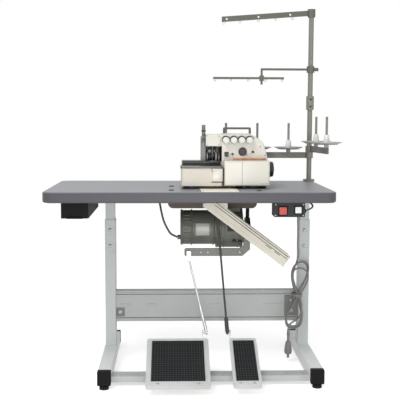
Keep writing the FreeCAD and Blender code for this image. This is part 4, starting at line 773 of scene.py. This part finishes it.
# middle of each button and half the side of its frame
BUTTONS = ((334.5, 679, 16), (390, 682, 14))
SWITCH_SCREWS = ((308, 662), (409, 662), (308, 702), (409, 702))
FRAME_FRONT, FRAME_BACK = -252, -249
FRAME_HALF = 1.2


def make_switch_details():
    """Raised frames round the two buttons and the box's cover screws."""
    frames = []
    for x, z, half in BUTTONS:
        for edge in (x - half, x + half):
            frames.append(pillow((edge - FRAME_HALF, FRAME_FRONT, z - half),
                                 (edge + FRAME_HALF, FRAME_BACK, z + half), 0.8))
        for edge in (z - half, z + half):
            frames.append(pillow((x - half, FRAME_FRONT, edge - FRAME_HALF),
                                 (x + half, FRAME_BACK, edge + FRAME_HALF), 0.8))
    piece("button_frames", frames, CAP_PLASTIC, "stand")
    heads = [screw((x, -250, z), (0, -1, 0), 2.8, 1.4) for x, z in SWITCH_SCREWS]
    piece("switch_screws", heads, ZINC, "stand")


CORD_ROUTE = ((423, -215, 675), (452, -201, 683), (459, -150, 692), (455, -70, 694), (458, 14, 693),
              (453, 82, 689), (450, 120, 664), (448, 127, 612), (452, 127, 540), (449, 125, 488),
              (457, 122, 455))
PLUG_TOP = (416, 122, 134)
CORD_TAIL = ((468, 111, 226), (466, 114, 202), (452, 117, 184), (434, 120, 174), (420, 122, 162),
             (416, 122, 146), PLUG_TOP)
CORD_DIAMETER = 7.0
HANK_TURNS = 3.3
POINTS_A_TURN = 24
FIRST_POINT = 4
HANK_LOW, HANK_HIGH = 130.0, 444.0
HANK_LEAN = math.tan(math.radians(6.5))
HANK_FOOT_X, HANK_FOOT_Z = 430, 112
# each turn lies in front of the last, and is shorter by a share of the first
HANK_BACK, TURN_DEPTH, TURN_LOSS = 134, 8, 0.08
HANK_LOBES = 2
# half the hank's width, and how much narrower it is where the turns draw in
LOBE_HALF, LOBE_LOSS = 35.5, 3
HANK_SLIP = 9
LOBE_SWAY = 0.1
# waves to a turn, in radians, of the slip, the sway and the drawing in
SLIP_WAVE, SWAY_WAVE, LOSS_WAVE = 4, 2.6, 2.1


def hank_points():
    """Loose turns, each twisted into lobes: a slow wave up and down, and a faster one from side to side."""
    turn = np.arange(FIRST_POINT, int(HANK_TURNS * POINTS_A_TURN) + 1) / POINTS_A_TURN
    angle = 2 * np.pi * turn
    tall = (HANK_HIGH - HANK_LOW) / 2 * (1 - TURN_LOSS * turn)
    phase = LOBE_SWAY * np.sin(SWAY_WAVE * turn)
    z = (HANK_LOW + HANK_HIGH) / 2 + HANK_SLIP * np.sin(SLIP_WAVE * turn) + tall * np.cos(angle)
    half = LOBE_HALF - LOBE_LOSS * np.sin(LOSS_WAVE * turn) ** 2
    centre = HANK_FOOT_X + HANK_LEAN * (z - HANK_FOOT_Z)
    x = centre - half * np.sin(HANK_LOBES * angle + phase)
    return np.stack([x, HANK_BACK - TURN_DEPTH * turn, z], -1)


def make_cord():
    """The power cord from the switch box, along the table and down the column into a hank, to its plug."""
    route = place(np.concatenate([CORD_ROUTE, hank_points(), CORD_TAIL]))
    curve = bpy.data.curves.new("power_cord_run", "CURVE")
    curve.dimensions = "3D"
    spline = curve.splines.new("NURBS")
    spline.points.add(len(route) - 1)
    spline.points.foreach_set("co", np.column_stack([route, np.ones(len(route))]).ravel())
    spline.order_u = 3
    spline.use_endpoint_u = True
    spline.resolution_u = 6
    curve.bevel_depth = CORD_DIAMETER / 2 * MM
    curve.bevel_resolution = 3
    curve.use_fill_caps = True
    curve.materials.append(GREY_VINYL)
    cord = bpy.data.objects.new("power_cord_run", curve)
    bpy.context.scene.collection.objects.link(cord)
    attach(cord, "stand")
    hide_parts("power_cord", "cord_hank")
    sleeve = [(0, 26), (3.8, 26), (4.4, 22), (5.6, 12), (6.6, 0), (6.6, -3), (0, -3)]
    relief = piece("cord_sleeve", [turned(sleeve, (416, 122, 120), (0, 0, 1), 20)], GREY_VINYL, "stand")
    band = [(21, -7), (22.6, -7), (22.6, 7), (21, 7), (21, -7)]
    tie = piece("cord_tie", [turned(band, (448, 122, 287), (HANK_LEAN, 0, 1), 24)], GREY_VINYL, "stand")


# Light, camera and floor

CAMERA_AT = (-64.484, -3100.558, 1010.304)
CAMERA_YAW, CAMERA_PITCH, CAMERA_ROLL = 0.0349, 0.102, 0.0034
LENS, SENSOR = 71.88, 36
# name, place, aim, side and power of each lamp, in metres and watts
LAMPS = (("key", (-1.3, -1.9, 3.4), (0, 0, 0.6), 1.4, 64),
         ("fill", (2.2, -2.4, 1.4), (0, 0, 0.7), 1.6, 13),
         ("low", (0, -2.1, 0.4), (0, 0, 0.2), 0.7, 13))
WHITE = (1, 1, 1, 1)
FLOOR_COLOUR = (0.9, 0.9, 0.9, 1)
# half the side of the floor, in metres
FLOOR_REACH = 6
# glow of the floor and the surround for rays that show the background, and the surround's light
FLOOR_GLOW, SURROUND_GLOW, SURROUND_LIGHT = 0.52, 1.0, 0.5


def make_camera():
    """A camera at the photo's place, turned by yaw, pitch and roll."""
    level = math.cos(CAMERA_PITCH)
    forward = np.array([math.sin(CAMERA_YAW) * level, math.cos(CAMERA_YAW) * level, -math.sin(CAMERA_PITCH)])
    right = np.array([math.cos(CAMERA_YAW), -math.sin(CAMERA_YAW), 0])
    up = np.cross(right, forward)
    across = math.cos(CAMERA_ROLL) * right + math.sin(CAMERA_ROLL) * up
    upright = -math.sin(CAMERA_ROLL) * right + math.cos(CAMERA_ROLL) * up
    matrix = np.eye(4)
    matrix[:3, :3] = np.column_stack([across, upright, -forward])
    matrix[:3, 3] = place(CAMERA_AT)
    camera = bpy.data.objects.new("view", bpy.data.cameras.new("view"))
    camera.data.lens = LENS
    camera.data.sensor_width = SENSOR
    bpy.context.scene.collection.objects.link(camera)
    camera.matrix_world = matrix.T.tolist()
    bpy.context.scene.camera = camera
    return camera


def make_lamp(name, position, aim, size, power):
    """A square lamp looking from its position at a point."""
    lamp = bpy.data.lights.new(name, "AREA")
    lamp.size = size
    lamp.energy = power
    obj = bpy.data.objects.new(name, lamp)
    bpy.context.scene.collection.objects.link(obj)
    way = np.array(aim) - np.array(position)
    way = way / np.linalg.norm(way)
    side = np.cross(way, (0, 0, 1))
    side = side / np.linalg.norm(side)
    matrix = np.eye(4)
    matrix[:3, :3] = np.column_stack([side, np.cross(side, way), -way])
    matrix[:3, 3] = position
    obj.matrix_world = matrix.T.tolist()
    return obj


def background_rays(tree):
    """1 for the rays that show the background, and 0 for those that light the object."""
    path = tree.nodes.new("ShaderNodeLightPath")
    share = path.outputs["Is Camera Ray"]
    for kind in ("Is Glossy Ray", "Is Transmission Ray"):
        total = tree.nodes.new("ShaderNodeMath")
        total.operation = "ADD"
        total.use_clamp = True
        tree.links.new(share, total.inputs[0])
        tree.links.new(path.outputs[kind], total.inputs[1])
        share = total.outputs[0]
    return share


def make_floor():
    """A pale floor that keeps the object's shadow and glows only where it is seen."""
    reach = FLOOR_REACH
    mesh = bpy.data.meshes.new("floor")
    mesh.from_pydata([(-reach, -reach, 0), (reach, -reach, 0), (reach, reach, 0), (-reach, reach, 0)], [],
                     [(0, 1, 2, 3)])
    paint = finish("floor_paint", FLOOR_COLOUR, 0.9, cloud=(2, 0.01), grain=(60, 0.01))
    tree = paint.node_tree
    inputs = tree.nodes["Principled BSDF"].inputs
    inputs["Emission Color"].default_value = WHITE
    strength = tree.nodes.new("ShaderNodeMath")
    strength.operation = "MULTIPLY"
    strength.inputs[1].default_value = FLOOR_GLOW
    tree.links.new(background_rays(tree), strength.inputs[0])
    tree.links.new(strength.outputs[0], inputs["Emission Strength"])
    mesh.materials.append(paint)
    ground = bpy.data.objects.new("floor", mesh)
    bpy.context.scene.collection.objects.link(ground)
    return ground


def make_surround():
    """A white surround where it is seen, and a softer light on the object."""
    world = bpy.data.worlds.new("surround")
    bpy.context.scene.world = world
    world.use_nodes = True
    tree = world.node_tree
    light = tree.nodes["Background"]
    light.inputs["Color"].default_value = WHITE
    light.inputs["Strength"].default_value = SURROUND_LIGHT
    seen = tree.nodes.new("ShaderNodeBackground")
    seen.inputs["Color"].default_value = WHITE
    seen.inputs["Strength"].default_value = SURROUND_GLOW
    pick = tree.nodes.new("ShaderNodeMixShader")
    tree.links.new(background_rays(tree), pick.inputs[0])
    tree.links.new(light.outputs["Background"], pick.inputs[1])
    tree.links.new(seen.outputs["Background"], pick.inputs[2])
    tree.links.new(pick.outputs["Shader"], tree.nodes["World Output"].inputs["Surface"])


def make_stage():
    """The floor, the surround, the camera and the lamps."""
    make_surround()
    make_floor()
    make_camera()
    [make_lamp(*lamp) for lamp in LAMPS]


make_treadle_details()
make_stand_details()
make_motor_details()
make_chute_details()
make_head_details()
make_thread_stand_details()
make_switch_details()
make_cord()
make_stage()
bpy.context.scene.view_settings.view_transform = "Standard"
